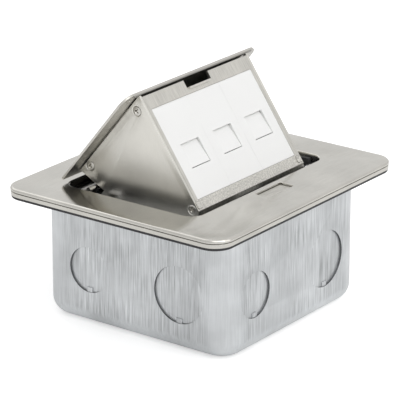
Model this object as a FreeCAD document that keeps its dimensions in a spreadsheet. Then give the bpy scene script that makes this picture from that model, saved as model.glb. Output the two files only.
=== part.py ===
"""Pop-up floor socket box: a steel back box, a faceplate and a sprung cassette with three data ports.

The origin is the middle of the back box's underside.  +X runs along the hinge, +Y points from the
sockets towards the hinge, +Z is up.  The cassette stands open at rest.  Lengths are in millimetres.
"""
import FreeCAD
import Part
import Sketcher
import math
import os
import re

DOC = FreeCAD.newDocument("FloorSocketBox")
V = FreeCAD.Vector

# The driving dimensions.  Heights inside the plate and the cassette are counted from the finished surface.
SIZES = {
    # back box
    "box_length": 98.0, "box_width": 99.0, "box_height": 56.8, "box_wall": 1.5,
    "box_corner": 12.0, "box_base_round": 7.5,
    "knock_small_radius": 10.15, "knock_large_radius": 12.65, "knock_sink": 0.8, "knock_height": 25.4,
    "knock_tab": 3.0, "knock_small_x": 29.7, "knock_large_x": 21.5, "knock_small_y": 23.2, "knock_large_y": 24.2,
    "base_hole_radius": 2.5, "base_hole_spacing": 60.0,
    "lug_width": 12.0, "lug_drop": 14.0, "lug_sheet": 1.5, "lug_gap": 1.0,
    # earth terminal
    "earth_x": 30.0, "earth_y": 36.0, "earth_radius": 2.0, "earth_height": 9.0,
    "earth_washer_radius": 4.5, "earth_washer_sheet": 0.8, "earth_nut_flats": 7.0, "earth_nut_height": 3.2,
    # faceplate
    "plate_length": 130.0, "plate_width": 114.0, "plate_rim": 3.6, "plate_skin": 2.2, "plate_corner": 9.0,
    "plate_edge_round": 1.1, "plate_cap": 1.5, "rim_groove": 0.4, "rim_groove_depth": 0.6, "rim_inset": 0.15,
    "opening_length": 94.4, "opening_front": 31.1, "opening_rear": 37.4, "opening_corner": 6.0,
    "opening_round": 0.8, "opening_wall": 1.5, "opening_lip": 1.6, "pocket_length": 92.0, "pocket_margin": 0.2,
    "gasket_sheet": 1.2, "gasket_inset": 0.5, "gasket_gap": 0.4,
    # carrier frame below the faceplate
    "carrier_sheet": 1.5, "carrier_gap_x": 0.9, "carrier_gap_y": 0.4, "carrier_corner": 10.0,
    "carrier_bore_length": 78.6, "carrier_bore_corner": 3.0,
    "box_screw_x": 42.6, "box_screw_front": 27.5, "box_screw_rear": 20.5, "box_screw_radius": 1.6,
    "box_screw_reach": 9.0, "box_screw_head": 3.0, "box_screw_head_height": 2.0,
    "plate_screw_x": 38.0, "plate_screw_front": 41.0, "plate_screw_rear": 43.5, "plate_screw_radius": 1.25,
    "plate_screw_head": 2.75, "plate_screw_head_height": 2.0, "plate_screw_depth": 3.6, "plate_boss_radius": 3.0,
    "thread_gap": 0.02, "hole_gap": 0.2,
    "buffer_length": 4.0, "buffer_width": 2.0, "buffer_front": 22.2, "buffer_rear": 14.4, "buffer_edge": 1.5,
    "buffer_gap": 0.3,
    # fixed cover over the hinge
    "cover_length": 85.0, "cover_bead_y": 28.0, "cover_bead_radius": 1.2, "cover_bead_depth": 2.1,
    "cover_top_depth": 3.0, "cover_sheet": 1.2, "cover_rear_gap": 0.5, "cover_pad": 8.0, "cover_screw_x": 24.0,
    "cover_screw_y": 33.0, "cover_screw_radius": 1.2, "cover_screw_head": 2.2, "cover_screw_reach": 6.0,
    "cover_tab": 10.0, "cover_tab_front": 29.5, "spring_seat": 9.0, "spring_seat_x": 31.5, "spring_seat_front": 34.6,
    # hinge
    "pivot_y": 34.2, "pivot_depth": 15.3, "open_angle": 50.8,
    "hinge_rod_radius": 2.0, "hinge_running_gap": 0.05, "hinge_rod_tail": 3.2,
    "ear_sheet": 1.5, "ear_half_width": 6.0, "ear_below": 5.2,
    "clip_radius": 4.0, "clip_sheet": 0.7, "clip_neck_radius": 1.5, "clip_slot": 2.4, "clip_play": 0.05,
    "bush_wall": 0.9, "bush_flange_radius": 4.2, "bush_flange": 1.0,
    "spring_wire": 1.3, "spring_coil_radius": 3.5, "spring_pitch": 1.5, "spring_turns": 3.0, "spring_outer_x": 34.4,
    # release button, latch bolt and its spring
    "button_length": 18.2, "button_front": 41.4, "button_rear": 34.3, "button_gap": 0.3, "button_sink": 0.8,
    "button_pad": 0.9, "button_stroke": 1.0, "stem_inner_x": 2.8, "stem_outer_x": 4.7, "stem_back": 0.2,
    "stem_foot": 1.0, "cam_ratio": 1.4, "cam_gap": 0.3, "stem_barb": 0.8, "stem_barb_height": 0.5,
    "bolt_width": 16.0, "bolt_sheet": 1.9, "bolt_lift": 0.3, "bolt_reach": 2.5, "bolt_tail": 43.6,
    "bolt_bevel": 1.4, "bolt_slot_gap": 0.4, "window_gap": 0.5,
    "latch_spring_radius": 1.12, "latch_spring_wire": 0.36, "latch_spring_turns": 7.0, "latch_spring_slot": 1.6,
    "latch_spring_seat": 3.0, "guide_rib": 1.5,
    # cassette: lid, side panels, tie bar
    "lid_length": 93.2, "lid_front_gap": 0.5, "lid_width": 55.0, "lid_sheet": 1.2, "lid_lip": 1.8,
    "lid_front_corner": 5.5, "lid_rear_corner": 1.0, "lid_edge_round": 0.5,
    "stud_x": 31.5, "stud_front": 14.0, "stud_rear": 4.0, "stud_radius": 1.25,
    "stud_length": 4.8, "lid_nut_flats": 5.0, "lid_nut_height": 2.0,
    "panel_half": 38.0, "panel_sheet": 1.2, "panel_rear_y": 20.5, "panel_waist_y": 17.4, "panel_waist_depth": 15.6,
    "panel_heel_y": 13.5, "panel_heel_depth": 33.0, "panel_toe_y": -8.5, "panel_top_gap": 0.4,
    "panel_corner": 2.0, "panel_flange": 8.2, "panel_flange_front": 20.0, "panel_flange_rear": 10.0,
    "arm_drop": 0.3, "arm_root_depth": 26.5, "eye_radius": 4.5,
    "spring_tab_y": 19.5, "spring_tab_depth": 23.2, "spring_tab_width": 4.0, "spring_tab_inner": 27.8,
    "side_screw_radius": 1.25, "side_screw_head": 2.3, "side_screw_sink": 1.0, "side_screw_reach": 6.0,
    "rear_screw_y": 14.7, "rear_screw_depth": 4.0, "tie_radius": 2.4, "tie_end_gap": 0.05,
    # cassette: front frame
    "face_tilt": 16.06, "face_top_y": -29.8, "face_top_depth": 2.6, "face_height": 52.7,
    "face_sheet": 1.2, "face_side_gap": 0.05, "recess_top": 6.2, "low_strip": 4.5, "recess_depth": 3.1,
    "face_border": 1.75,
    "skirt_length": 4.8, "skirt_notch_half": 9.2, "skirt_notch_start": 1.5,
    "notch_half": 8.5, "notch_depth": 3.5, "catch_half": 7.5, "catch_height": 1.0, "catch_proud": 0.7,
    "frame_flange_depth": 13.0, "top_screw_in": 5.1, "top_screw_down": 4.1, "low_screw_in": 2.8,
    "low_screw_up": 1.9, "corner_block": 4.0, "corner_block_depth": 6.0, "corner_block_height": 3.4,
    # data modules, shutters, jacks
    "port_pitch": 22.6, "port_width": 12.7, "port_top": 24.3, "port_bottom": 35.4, "module_gap": 0.1,
    "module_sink": 0.1, "module_skin": 1.1, "module_seam_half": 11.35,
    "tunnel_half": 6.95, "tunnel_wall": 1.25, "tunnel_top": 21.8, "tunnel_bottom": 36.2, "tunnel_depth": 17.0,
    "window_margin": 0.4, "snap_height": 1.0, "snap_length": 1.8,
    "flap_side_gap": 0.3, "flap_sheet": 1.1, "flap_axis_in": 2.6, "flap_axis_down": 23.0, "flap_barrel_radius": 1.0,
    "flap_low_gap": 0.5, "flap_front_sink": 0.25, "flap_head_sink": 1.4, "trunnion_radius": 0.8,
    "trunnion_gap": 0.06, "trunnion_reach": 0.75, "flap_open_angle": 86.0,
    "leaf_sheet": 0.25, "leaf_width": 3.0,
    "jack_face": 15.2, "jack_gap": 0.1, "jack_depth": 29.0, "jack_body_half": 8.0, "jack_body_top": 21.0,
    "jack_body_bottom": 38.0, "jack_port_half": 5.9, "jack_port_top": 26.6, "jack_port_bottom": 34.8,
    "jack_port_depth": 26.0, "jack_key_half": 3.0, "jack_key_drop": 1.3, "contact_width": 0.35,
    "contact_pitch": 1.02, "contact_thickness": 0.3, "contact_slope_down": 4.2,
    "idc_cap_depth": 4.0, "idc_cap_half": 6.5, "idc_cap_top": 22.5, "idc_cap_bottom": 36.5, "idc_slot": 1.2,
}

# Places that follow from the sizes, as formulas of a second sheet.
PLACES = {
    "box_half_x": "box_length / 2", "box_half_y": "box_width / 2",
    "plate_top": "box_height + plate_rim", "skin_under": "plate_top - plate_skin",
    "rail_top": "box_height - opening_lip", "rail_under": "rail_top - carrier_sheet",
    "inner_half_x": "box_half_x - box_wall", "inner_half_y": "box_half_y - box_wall",
    "pocket_rear": "inner_half_y", "carrier_half_x": "inner_half_x - carrier_gap_x",
    "carrier_half_y": "inner_half_y - carrier_gap_y", "carrier_bore_half": "carrier_bore_length / 2",
    "pivot_z": "plate_top - pivot_depth", "ear_inner": "carrier_bore_half",
    "rod_half": "ear_inner + ear_sheet + hinge_rod_tail", "clip_x": "ear_inner + ear_sheet + 0.3",
    "cover_top": "plate_top - cover_top_depth", "cover_under": "cover_top - cover_sheet",
    # the closed cassette's frame turned about the pivot to its open place
    "open_y": "pivot_y - pivot_y * cos(open_angle * 1deg) + pivot_depth * sin(open_angle * 1deg)",
    "open_z": "plate_top - pivot_depth + pivot_y * sin(open_angle * 1deg)"
              " + pivot_depth * cos(open_angle * 1deg)",
    "open_turn": "-open_angle",
    # the sloping face's own frame: origin in the middle of its top edge, Z up the face, Y into the cassette
    "face_y": "face_top_y * cos(open_angle * 1deg) - face_top_depth * sin(open_angle * 1deg) + open_y",
    "face_z": "-face_top_y * sin(open_angle * 1deg) - face_top_depth * cos(open_angle * 1deg) + open_z",
    "face_turn": "face_tilt - open_angle",
    "face_half": "panel_half - panel_sheet - face_side_gap",
    "recess_bottom": "face_height - low_strip", "low_screw_down": "face_height - low_screw_up",
    "panel_toe_depth": "face_top_depth + face_height * cos(face_tilt * 1deg) + skirt_length * 0.6",
    "insert_half": "face_half - face_border",
    "top_screw_y": "face_top_y + top_screw_in * cos(face_tilt * 1deg) + top_screw_down * sin(face_tilt * 1deg)",
    "top_screw_depth": "face_top_depth - top_screw_in * sin(face_tilt * 1deg)"
                       " + top_screw_down * cos(face_tilt * 1deg)",
    "low_screw_y": "face_top_y + low_screw_in * cos(face_tilt * 1deg) + low_screw_down * sin(face_tilt * 1deg)",
    "low_screw_depth": "face_top_depth - low_screw_in * sin(face_tilt * 1deg)"
                       " + low_screw_down * cos(face_tilt * 1deg)",
    "panel_inner": "panel_half - panel_sheet", "lid_front": "-opening_front + lid_front_gap",
    "lid_rear": "lid_front + lid_width", "lid_half": "lid_length / 2",
    "bolt_low": "rail_top + bolt_lift", "bolt_high": "bolt_low + bolt_sheet", "bolt_nose": "-opening_front + bolt_reach",
    "button_top": "plate_top - button_sink", "button_under": "button_top - button_pad",
    "stem_foot_z": "rail_top - 0.45", "cam_foot_y": "-button_rear - stem_back - button_gap - stem_foot",
    "flap_low": "port_bottom - flap_low_gap", "flap_half": "port_width / 2 - flap_side_gap",
}

SHEET = DOC.addObject("Spreadsheet::Sheet", "Sizes")
PLACE_SHEET = DOC.addObject("Spreadsheet::Sheet", "Places")
BODIES = {}


def linked(formula):
    """Write a formula of plain size names as one that names the two sheets."""
    def name(match):
        word = match.group(0)
        if word in SIZES:
            return "<<Sizes>>." + word
        if word in PLACES:
            return "<<Places>>." + word
        return word
    return re.sub(r"[a-z][a-z_]+", name, str(formula))


def fill_sheets():
    for row, (alias, size) in enumerate(SIZES.items(), start=1):
        SHEET.set("A%d" % row, alias)
        SHEET.set("B%d" % row, str(size))
        SHEET.setAlias("B%d" % row, alias)
    DOC.recompute()
    for row, (alias, formula) in enumerate(PLACES.items(), start=1):
        PLACE_SHEET.set("A%d" % row, alias)
        PLACE_SHEET.set("B%d" % row, "=" + linked(formula))
        PLACE_SHEET.setAlias("B%d" % row, alias)
    DOC.recompute()


def size(alias):
    """The number that a sheet holds for an alias."""
    sheet = SHEET if alias in SIZES else PLACE_SHEET
    return float(sheet.get(alias))


TURN_TO = {
    "x": FreeCAD.Rotation(V(0, 1, 0), 90),
    "y": FreeCAD.Rotation(V(1, 0, 0), -90),
    "z": FreeCAD.Rotation(),
}


class Piece:
    """One body: features with sizes bound to the sheets, in the part's, the lid's or the face's frame."""

    def __init__(self, label, frame=None):
        self.body = DOC.addObject("PartDesign::Body", label)
        self.body.Label = label
        self.body.AllowCompound = True
        self.count = 0
        BODIES[label] = self.body
        if frame:
            self.body.Placement = FreeCAD.Placement(V(), FreeCAD.Rotation(V(1, 0, 0), 1))
            for target, place in (("Base.y", "_y"), ("Base.z", "_z"), ("Rotation.Angle", "_turn")):
                self.body.setExpression("Placement." + target, linked(frame + place))

    def feature(self, kind, name):
        self.count += 1
        return self.body.newObject("PartDesign::" + kind, "%s_%s_%d" % (self.body.Name, name, self.count))

    def box(self, name, x, y, z, cut=False):
        """A block between pairs of formulas along X, Y and Z."""
        block = self.feature("SubtractiveBox" if cut else "AdditiveBox", name)
        for prop, axis, (low, high) in (("Length", "x", x), ("Width", "y", y), ("Height", "z", z)):
            block.setExpression(prop, linked("(%s) - (%s)" % (high, low)))
            block.setExpression("Placement.Base." + axis, linked(low))
        return block

    def rod(self, name, axis, centre, span, radius, cut=False):
        """A round bar along an axis, over a span of it, through a centre given on the other two axes."""
        bar = self.feature("SubtractiveCylinder" if cut else "AdditiveCylinder", name)
        bar.Placement = FreeCAD.Placement(V(), TURN_TO[axis])
        bar.setExpression("Radius", linked(radius))
        self.along(bar, axis, centre, span)
        return bar

    def prism(self, name, axis, centre, span, radius, sides=8, cut=False):
        """A bar with a regular polygon for its section, for hidden shanks and clearance holes."""
        bar = self.feature("SubtractivePrism" if cut else "AdditivePrism", name)
        bar.Placement = FreeCAD.Placement(V(), TURN_TO[axis])
        bar.Polygon = sides
        bar.setExpression("Circumradius", linked(radius))
        self.along(bar, axis, centre, span)
        return bar

    def slab(self, name, half_x, half_y, z, corner):
        """A level slab about the middle with round upright corners: two crossing blocks and four round bars."""
        self.box(name + "_long", both(half_x), both("%s - (%s)" % (half_y, corner)), z)
        self.box(name + "_wide", both("%s - (%s)" % (half_x, corner)), both(half_y), z)
        for side in (-1, 1):
            for end in (-1, 1):
                place = (signed(side, "%s - (%s)" % (half_x, corner)), signed(end, "%s - (%s)" % (half_y, corner)))
                self.rod(name + "_corner", "z", place, z, corner)

    def cone(self, name, axis, centre, span, radii, cut=False):
        """A round taper along an axis, from the first radius to the second."""
        taper = self.feature("SubtractiveCone" if cut else "AdditiveCone", name)
        taper.Placement = FreeCAD.Placement(V(), TURN_TO[axis])
        taper.setExpression("Radius1", linked(radii[0]))
        taper.setExpression("Radius2", linked(radii[1]))
        self.along(taper, axis, centre, span)
        return taper

    def along(self, bar, axis, centre, span):
        bar.setExpression("Height", linked("(%s) - (%s)" % (span[1], span[0])))
        others = [a for a in "xyz" if a != axis]
        for other, where in zip(others, centre):
            bar.setExpression("Placement.Base." + other, linked(where))
        bar.setExpression("Placement.Base." + axis, linked(span[0]))

    def profile(self, name, points, span, cut=False):
        """An outline in the YZ plane, given as pairs of formulas, drawn out along X over a span."""
        sketch = self.body.newObject("Sketcher::SketchObject", "%s_%s_outline" % (self.body.Name, name))
        plane = [o for o in self.body.Origin.OriginFeatures if o.Role == "YZ_Plane"][0]
        sketch.AttachmentSupport = (plane, "")
        sketch.MapMode = "FlatFace"
        sketch.setExpression("AttachmentOffset.Base.z", linked(span[0]))
        corners = [V(value(y), value(z), 0) for y, z in points]
        last = len(points) - 1
        for i, corner in enumerate(corners):
            sketch.addGeometry(Part.LineSegment(corner, corners[0 if i == last else i + 1]), False)
        for i in range(len(points)):
            sketch.addConstraint(Sketcher.Constraint("Coincident", i, 2, 0 if i == last else i + 1, 1))
        for i, (y, z) in enumerate(points):
            for kind, formula, at in (("DistanceX", y, corners[i].x), ("DistanceY", z, corners[i].y)):
                index = sketch.addConstraint(Sketcher.Constraint(kind, -1, 1, i, 1, at))
                sketch.setExpression("Constraints[%d]" % index, linked(formula))
        pad = self.feature("Pocket" if cut else "Pad", name)
        pad.Profile = sketch
        pad.Reversed = cut
        pad.setExpression("Length", linked("(%s) - (%s)" % (span[1], span[0])))
        return pad

    def fillet(self, name, radius, wanted):
        """Round the edges of the shape so far that a test picks."""
        DOC.recompute()
        base = self.body.Tip
        edges = ["Edge%d" % i for i, edge in enumerate(base.Shape.Edges, start=1) if wanted(edge)]
        if not edges:
            raise RuntimeError("%s: no edge for %s" % (self.body.Label, name))
        rounding = self.feature("Fillet", name)
        rounding.Base = (base, edges)
        rounding.setExpression("Radius", linked(radius))


def value(formula):
    """The number that a formula of size names comes to."""
    probe = DOC.getObject("Probe") or DOC.addObject("App::FeaturePython", "Probe")
    if "Number" not in probe.PropertiesList:
        probe.addProperty("App::PropertyFloat", "Number")
    probe.setExpression("Number", linked("0.0 + (%s)" % formula))
    probe.touch()
    probe.recompute()
    return probe.Number


def both(formula):
    """A span from minus a half size to plus that half size."""
    return ("-(%s)" % formula, formula)


def near(a, b):
    return abs(a - b) < 1e-3


def upright(x=None, y=None, mirror_y=True):
    """Pick straight vertical edges at a distance from the middle planes."""
    def test(edge):
        ends = edge.Vertexes
        if len(ends) != 2 or not (near(ends[0].X, ends[1].X) and near(ends[0].Y, ends[1].Y)):
            return False
        at_x = x is None or near(abs(ends[0].X), x)
        at_y = y is None or (near(abs(ends[0].Y), y) if mirror_y else near(ends[0].Y, y))
        return at_x and at_y
    return test


def level(z):
    """Pick edges that lie in one horizontal plane."""
    return lambda edge: near(edge.BoundBox.ZMin, z) and near(edge.BoundBox.ZMax, z)


def side_span(side, low, high):
    """A span along X on the right (+1) or the left (-1), between two distances from the middle."""
    return (low, high) if side > 0 else ("-(%s)" % high, "-(%s)" % low)


def signed(side, formula):
    return formula if side > 0 else "-(%s)" % formula


# ---------------------------------------------------------------- back box and what is fixed in it

def back_box():
    """The drawn steel box with half-sheared knockouts, fixing lugs and holes in its floor."""
    box = Piece("back_box")
    box.box("block", both("box_half_x"), both("box_half_y"), ("0", "box_height"))
    box.fillet("corners", "box_corner", upright(size("box_half_x"), size("box_half_y")))
    box.fillet("base_round", "box_base_round", level(0))
    DOC.recompute()
    base = box.body.Tip
    shell = box.feature("Thickness", "walls")
    tops = ["Face%d" % i for i, face in enumerate(base.Shape.Faces, start=1)
            if near(face.BoundBox.ZMin, size("box_height"))]
    shell.Base = (base, tops)
    shell.setExpression("Value", linked("box_wall"))
    shell.Reversed = True
    for kind, radius in (("small", "knock_small_radius"), ("large", "knock_large_radius")):
        for side in (-1, 1):
            along_x = signed(-1 if kind == "small" else 1, "knock_%s_x" % kind)
            along_y = signed(1 if kind == "small" else -1, "knock_%s_y" % kind)
            knockout(box, "%s_end_%d" % (kind, side + 1), "x", side, along_y, "box_half_x", radius)
            knockout(box, "%s_front_%d" % (kind, side + 1), "y", side, along_x, "box_half_y", radius)
    for side in (-1, 1):
        for row, y in (("front", "-box_screw_front"), ("rear", "box_screw_rear")):
            span_y = ("%s - lug_width / 2" % y, "%s + lug_width / 2" % y)
            box.box("lug_%s" % row, side_span(side, "carrier_bore_half + 0.2", "inner_half_x + box_wall / 2"), span_y,
                    ("rail_under - lug_sheet", "rail_under"))
            box.box("lug_leg_%s" % row, side_span(side, "inner_half_x - lug_sheet", "inner_half_x + box_wall / 2"),
                    span_y, ("rail_under - lug_drop", "rail_under"))
            box.rod("lug_thread_%s" % row, "z", (signed(side, "box_screw_x"), y),
                    ("rail_under - lug_sheet - 1", "rail_under + 1"), "box_screw_radius + thread_gap", cut=True)
        for end in (-1, 1):
            box.rod("base_hole", "z", (signed(side, "base_hole_spacing / 2"), signed(end, "base_hole_spacing / 2")),
                    ("-1", "box_wall + 1"), "base_hole_radius", cut=True)


def knockout(box, name, axis, side, across, wall, radius):
    """A disc pressed thin from outside, with a small tab left at its foot."""
    outer = ("%s - knock_sink" % wall, "%s + 1" % wall)
    tab = ("%s - knock_sink - 0.1" % wall, "%s - knock_sink / 2" % wall)
    centre = (across, "knock_height")
    box.rod(name + "_dish", axis, centre, side_span(side, *outer), radius, cut=True)
    across_span = ("%s - knock_tab / 2" % across, "%s + knock_tab / 2" % across)
    spans = {axis: side_span(side, *tab), "y" if axis == "x" else "x": across_span}
    box.box(name + "_tab", spans["x"], spans["y"],
            ("knock_height - %s - 0.3" % radius, "knock_height - %s + knock_tab * 0.7" % radius))


def earth_terminal():
    """The welded earth stud with its washer and nut."""
    stud = Piece("earth_stud")
    place = ("-earth_x", "-earth_y")
    stud.rod("stud", "z", place, ("box_wall", "box_wall + earth_height"), "earth_radius")
    stud.rod("weld_foot", "z", place, ("box_wall", "box_wall + 0.4"), "earth_radius + 0.6")
    washer = Piece("earth_washer")
    seat = "box_wall + 0.4"
    washer.rod("disc", "z", place, (seat, seat + " + earth_washer_sheet"), "earth_washer_radius")
    washer.rod("bore", "z", place, (seat + " - 1", seat + " + earth_washer_sheet + 1"),
               "earth_radius + thread_gap * 5", cut=True)
    hexagon("earth_nut", None, [place], ("z", "%s + earth_washer_sheet" % seat), "earth_nut_flats",
            "earth_nut_height", "earth_radius + thread_gap")


def hexagon(label, frame, places, seat, flats, height, bore):
    """Hexagon nuts on the Z axis, each standing on or hanging from its seat, as one group."""
    nut = Piece(label, frame)
    for place in places:
        low, high = seat[1], "%s + (%s)" % (seat[1], height)
        prism = nut.feature("AdditivePrism", "nut")
        prism.Polygon = 6
        prism.setExpression("Circumradius", linked("(%s) / sqrt(3)" % flats))
        prism.setExpression("Height", linked(height))
        for axis, where in zip("xyz", (place[0], place[1], low)):
            prism.setExpression("Placement.Base." + axis, linked(where))
        nut.rod("bore", "z", place, ("%s - 1" % low, "%s + 1" % high), bore, cut=True)
    return nut


def pan_screws(label, places, seat, reach, radius, head, head_height, down):
    """Pan-head screws on the Z axis, as one group; down is +1 when the shank points down."""
    screws = Piece(label)
    for place in places:
        shank = ("%s - (%s)" % (seat, reach), seat) if down > 0 else (seat, "%s + %s" % (seat, reach))
        crown = (seat, "%s + %s" % (seat, head_height)) if down > 0 else ("%s - %s" % (seat, head_height), seat)
        screws.prism("head", "z", place, crown, head, sides=16)
        screws.prism("shank", "z", place, shank, radius)


# ---------------------------------------------------------------- faceplate and carrier

def frame_gasket():
    gasket = Piece("frame_gasket")
    height = ("box_height - gasket_sheet", "box_height")
    gasket.box("sheet", both("plate_length / 2 - gasket_inset"), both("plate_width / 2 - gasket_inset"), height)
    gasket.fillet("corners", "plate_corner - gasket_inset",
                  upright(size("plate_length") / 2 - size("gasket_inset"),
                          size("plate_width") / 2 - size("gasket_inset")))
    gasket.box("bore", both("box_half_x + gasket_gap"), both("box_half_y + gasket_gap"),
               ("box_height - gasket_sheet - 1", "box_height + 1"), cut=True)
    gasket.fillet("bore_corners", "box_corner + gasket_gap",
                  upright(size("box_half_x") + size("gasket_gap"), size("box_half_y") + size("gasket_gap")))


def frame_plate():
    """The faceplate: a grooved rim, a rounded opening with walls below it, and the latch's pocket."""
    plate = Piece("frame_plate")
    cap_under = "plate_top - plate_cap"
    layers = (("rim", "rim_inset", "box_height", "%s - rim_groove" % cap_under),
              ("neck", "rim_groove_depth", "%s - rim_groove" % cap_under, cap_under),
              ("cap", "0", cap_under, "plate_top"))
    for name, inset, low, high in layers:
        plate.slab(name, "plate_length / 2 - %s" % inset, "plate_width / 2 - %s" % inset, (low, high),
                   "plate_corner - %s" % inset)
    plate.fillet("edge_round", "plate_edge_round", level(size("plate_top")))
    for name, span_y in (("front_wall", ("-opening_front - opening_wall", "-opening_front + 1")),
                         ("rear_wall", ("opening_rear - 1", "opening_rear + opening_wall"))):
        plate.box(name, both("pocket_length / 2"), span_y, ("rail_top", "skin_under + 0.1"))
    plate.box("opening", both("opening_length / 2"), ("-opening_front", "opening_rear"),
              ("rail_top - 1", "plate_top + 1"), cut=True)
    corner_rows = (-size("opening_front"), size("opening_rear"))
    plate.fillet("opening_corners", "opening_corner",
                 lambda edge: any(upright(size("opening_length") / 2, row, False)(edge) for row in corner_rows))
    plate.fillet("opening_round", "opening_round", lambda edge: level(size("plate_top"))(edge)
                 and abs(edge.CenterOfMass.x) < size("opening_length") / 2 + 0.1
                 and -size("opening_front") - 0.1 < edge.CenterOfMass.y < size("opening_rear") + 0.1)
    plate.box("front_pocket", both("pocket_length / 2"), ("-pocket_rear", "-opening_front - opening_wall"),
              ("rail_top - 1", "skin_under"), cut=True)
    plate.box("rear_pocket", both("pocket_length / 2"), ("opening_rear + opening_wall", "pocket_rear"),
              ("rail_top - 1", "skin_under"), cut=True)
    plate.box("latch_window", both("bolt_width / 2 + window_gap"),
              ("-opening_front - opening_wall - 1", "-opening_front + 1"), ("rail_top - 1", "skin_under"), cut=True)
    plate.box("button_hole", both("button_length / 2"), ("-button_front", "-button_rear"),
              ("skin_under - 1", "plate_top + 1"), cut=True)
    for side in (-1, 1):
        plate.box("guide_rib", side_span(side, "bolt_width / 2 + window_gap", "bolt_width / 2 + window_gap + guide_rib"),
                  ("-pocket_rear + 0.5", "-button_front - 0.6"), ("rail_top", "skin_under + 0.1"))
        for row in ("-plate_screw_front", "plate_screw_rear"):
            place = (signed(side, "plate_screw_x"), row)
            plate.box("boss", *[("%s - plate_boss_radius" % at, "%s + plate_boss_radius" % at) for at in place],
                      ("rail_top", "skin_under + 0.1"))
            plate.rod("thread", "z", place, ("rail_top - 1", "rail_top + plate_screw_depth"),
                      "plate_screw_radius + thread_gap", cut=True)


def carrier_frame():
    """The pressed frame under the faceplate: rails, hinge ears, tabs for the cover and seats for the springs."""
    frame = Piece("carrier_frame")
    sheet = ("rail_under", "rail_top")
    through = ("rail_under - 1", "rail_top + 1")
    frame.box("sheet", both("carrier_half_x"), both("carrier_half_y"), sheet)
    frame.fillet("corners", "carrier_corner", upright(size("carrier_half_x"), size("carrier_half_y")))
    frame.box("bore", both("carrier_bore_half"), ("-opening_front", "opening_rear"), through, cut=True)
    frame.fillet("bore_corners", "carrier_bore_corner", upright(size("carrier_bore_half")))
    for side in (-1, 1):
        frame.box("ear", side_span(side, "ear_inner", "ear_inner + ear_sheet"),
                  ("pivot_y - ear_half_width", "pivot_y + ear_half_width"), ("pivot_z - ear_below", "rail_under + 0.1"))
        frame.box("cover_tab", side_span(side, "cover_screw_x - cover_tab / 2", "cover_screw_x + cover_tab / 2"),
                  ("cover_tab_front", "opening_rear + 1"), sheet)
        frame.box("spring_seat", side_span(side, "spring_seat_x - spring_seat / 2", "spring_seat_x + spring_seat / 2"),
                  ("spring_seat_front", "opening_rear + 1"), sheet)
    frame.fillet("ear_round", "ear_half_width / 2", lambda edge: len(edge.Vertexes) == 2
                 and near(edge.BoundBox.YLength, 0) and near(edge.BoundBox.ZMin, value("pivot_z - ear_below"))
                 and near(edge.BoundBox.ZLength, 0))
    for side in (-1, 1):
        frame.rod("ear_bore", "x", ("pivot_y", "pivot_z"), side_span(side, "ear_inner - 1", "ear_inner + ear_sheet + 1"),
                  "hinge_rod_radius + hinge_running_gap", cut=True)
        for row in ("-box_screw_front", "box_screw_rear"):
            frame.prism("box_screw_hole", "z", (signed(side, "box_screw_x"), row), through,
                        "box_screw_radius + hole_gap", cut=True)
        for row in ("-plate_screw_front", "plate_screw_rear"):
            frame.prism("plate_screw_hole", "z", (signed(side, "plate_screw_x"), row), through,
                        "plate_screw_radius + hole_gap", cut=True)
        frame.prism("cover_screw_hole", "z", (signed(side, "cover_screw_x"), "cover_screw_y"), through,
                    "cover_screw_radius + thread_gap * 6", cut=True)
        frame.box("stem_slot", side_span(side, "stem_inner_x - bolt_slot_gap", "stem_outer_x + bolt_slot_gap"),
                  ("cam_foot_y - 2.6", "-button_rear - stem_back + 0.1"), through, cut=True)


def lid_buffers():
    """Rubber pads that stand on the rails and bear the closed lid near its corners."""
    pads = Piece("lid_buffers")
    for side in (-1, 1):
        for row in ("-buffer_front", "buffer_rear"):
            pads.box("pad", side_span(side, "lid_half - buffer_edge - 0.3", "lid_half - buffer_edge - 0.3 + buffer_width"),
                     (row + " - buffer_length / 2", row + " + buffer_length / 2"),
                     ("rail_top", "plate_top - lid_sheet - buffer_gap"))


def hinge_cover():
    """The fixed strip that closes the opening behind the lid, with a beaded front lip."""
    cover = Piece("hinge_cover")
    cover.box("strip", both("cover_length / 2"), ("cover_bead_y", "opening_rear - cover_rear_gap"),
              ("cover_under", "cover_top"))
    cover.rod("bead", "x", ("cover_bead_y", "plate_top - cover_bead_depth"), both("cover_length / 2"),
              "cover_bead_radius")
    for side in (-1, 1):
        x_span = side_span(side, "cover_screw_x - cover_pad / 2", "cover_screw_x + cover_pad / 2")
        cover.box("pad", x_span, ("cover_screw_y - 3", "cover_screw_y + 3"), ("rail_top", "cover_under + 0.1"))
        place = (signed(side, "cover_screw_x"), "cover_screw_y")
        cover.prism("screw_hole", "z", place, ("rail_top - 1", "cover_top - 0.5"), "cover_screw_radius + hole_gap",
                    cut=True)
        cover.cone("countersink", "z", place, ("cover_top - cover_screw_head + cover_screw_radius", "cover_top + 0.05"),
                   ("cover_screw_radius + 0.05", "cover_screw_head + 0.1"), cut=True)
    screws = Piece("cover_screws")
    for side in (-1, 1):
        place = (signed(side, "cover_screw_x"), "cover_screw_y")
        screws.cone("head", "z", place, ("cover_top - cover_screw_head + cover_screw_radius", "cover_top"),
                    ("cover_screw_radius", "cover_screw_head"))
        screws.prism("shank", "z", place, ("cover_top - cover_screw_reach", "cover_top - 0.9"), "cover_screw_radius")


# ---------------------------------------------------------------- hinge

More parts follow.
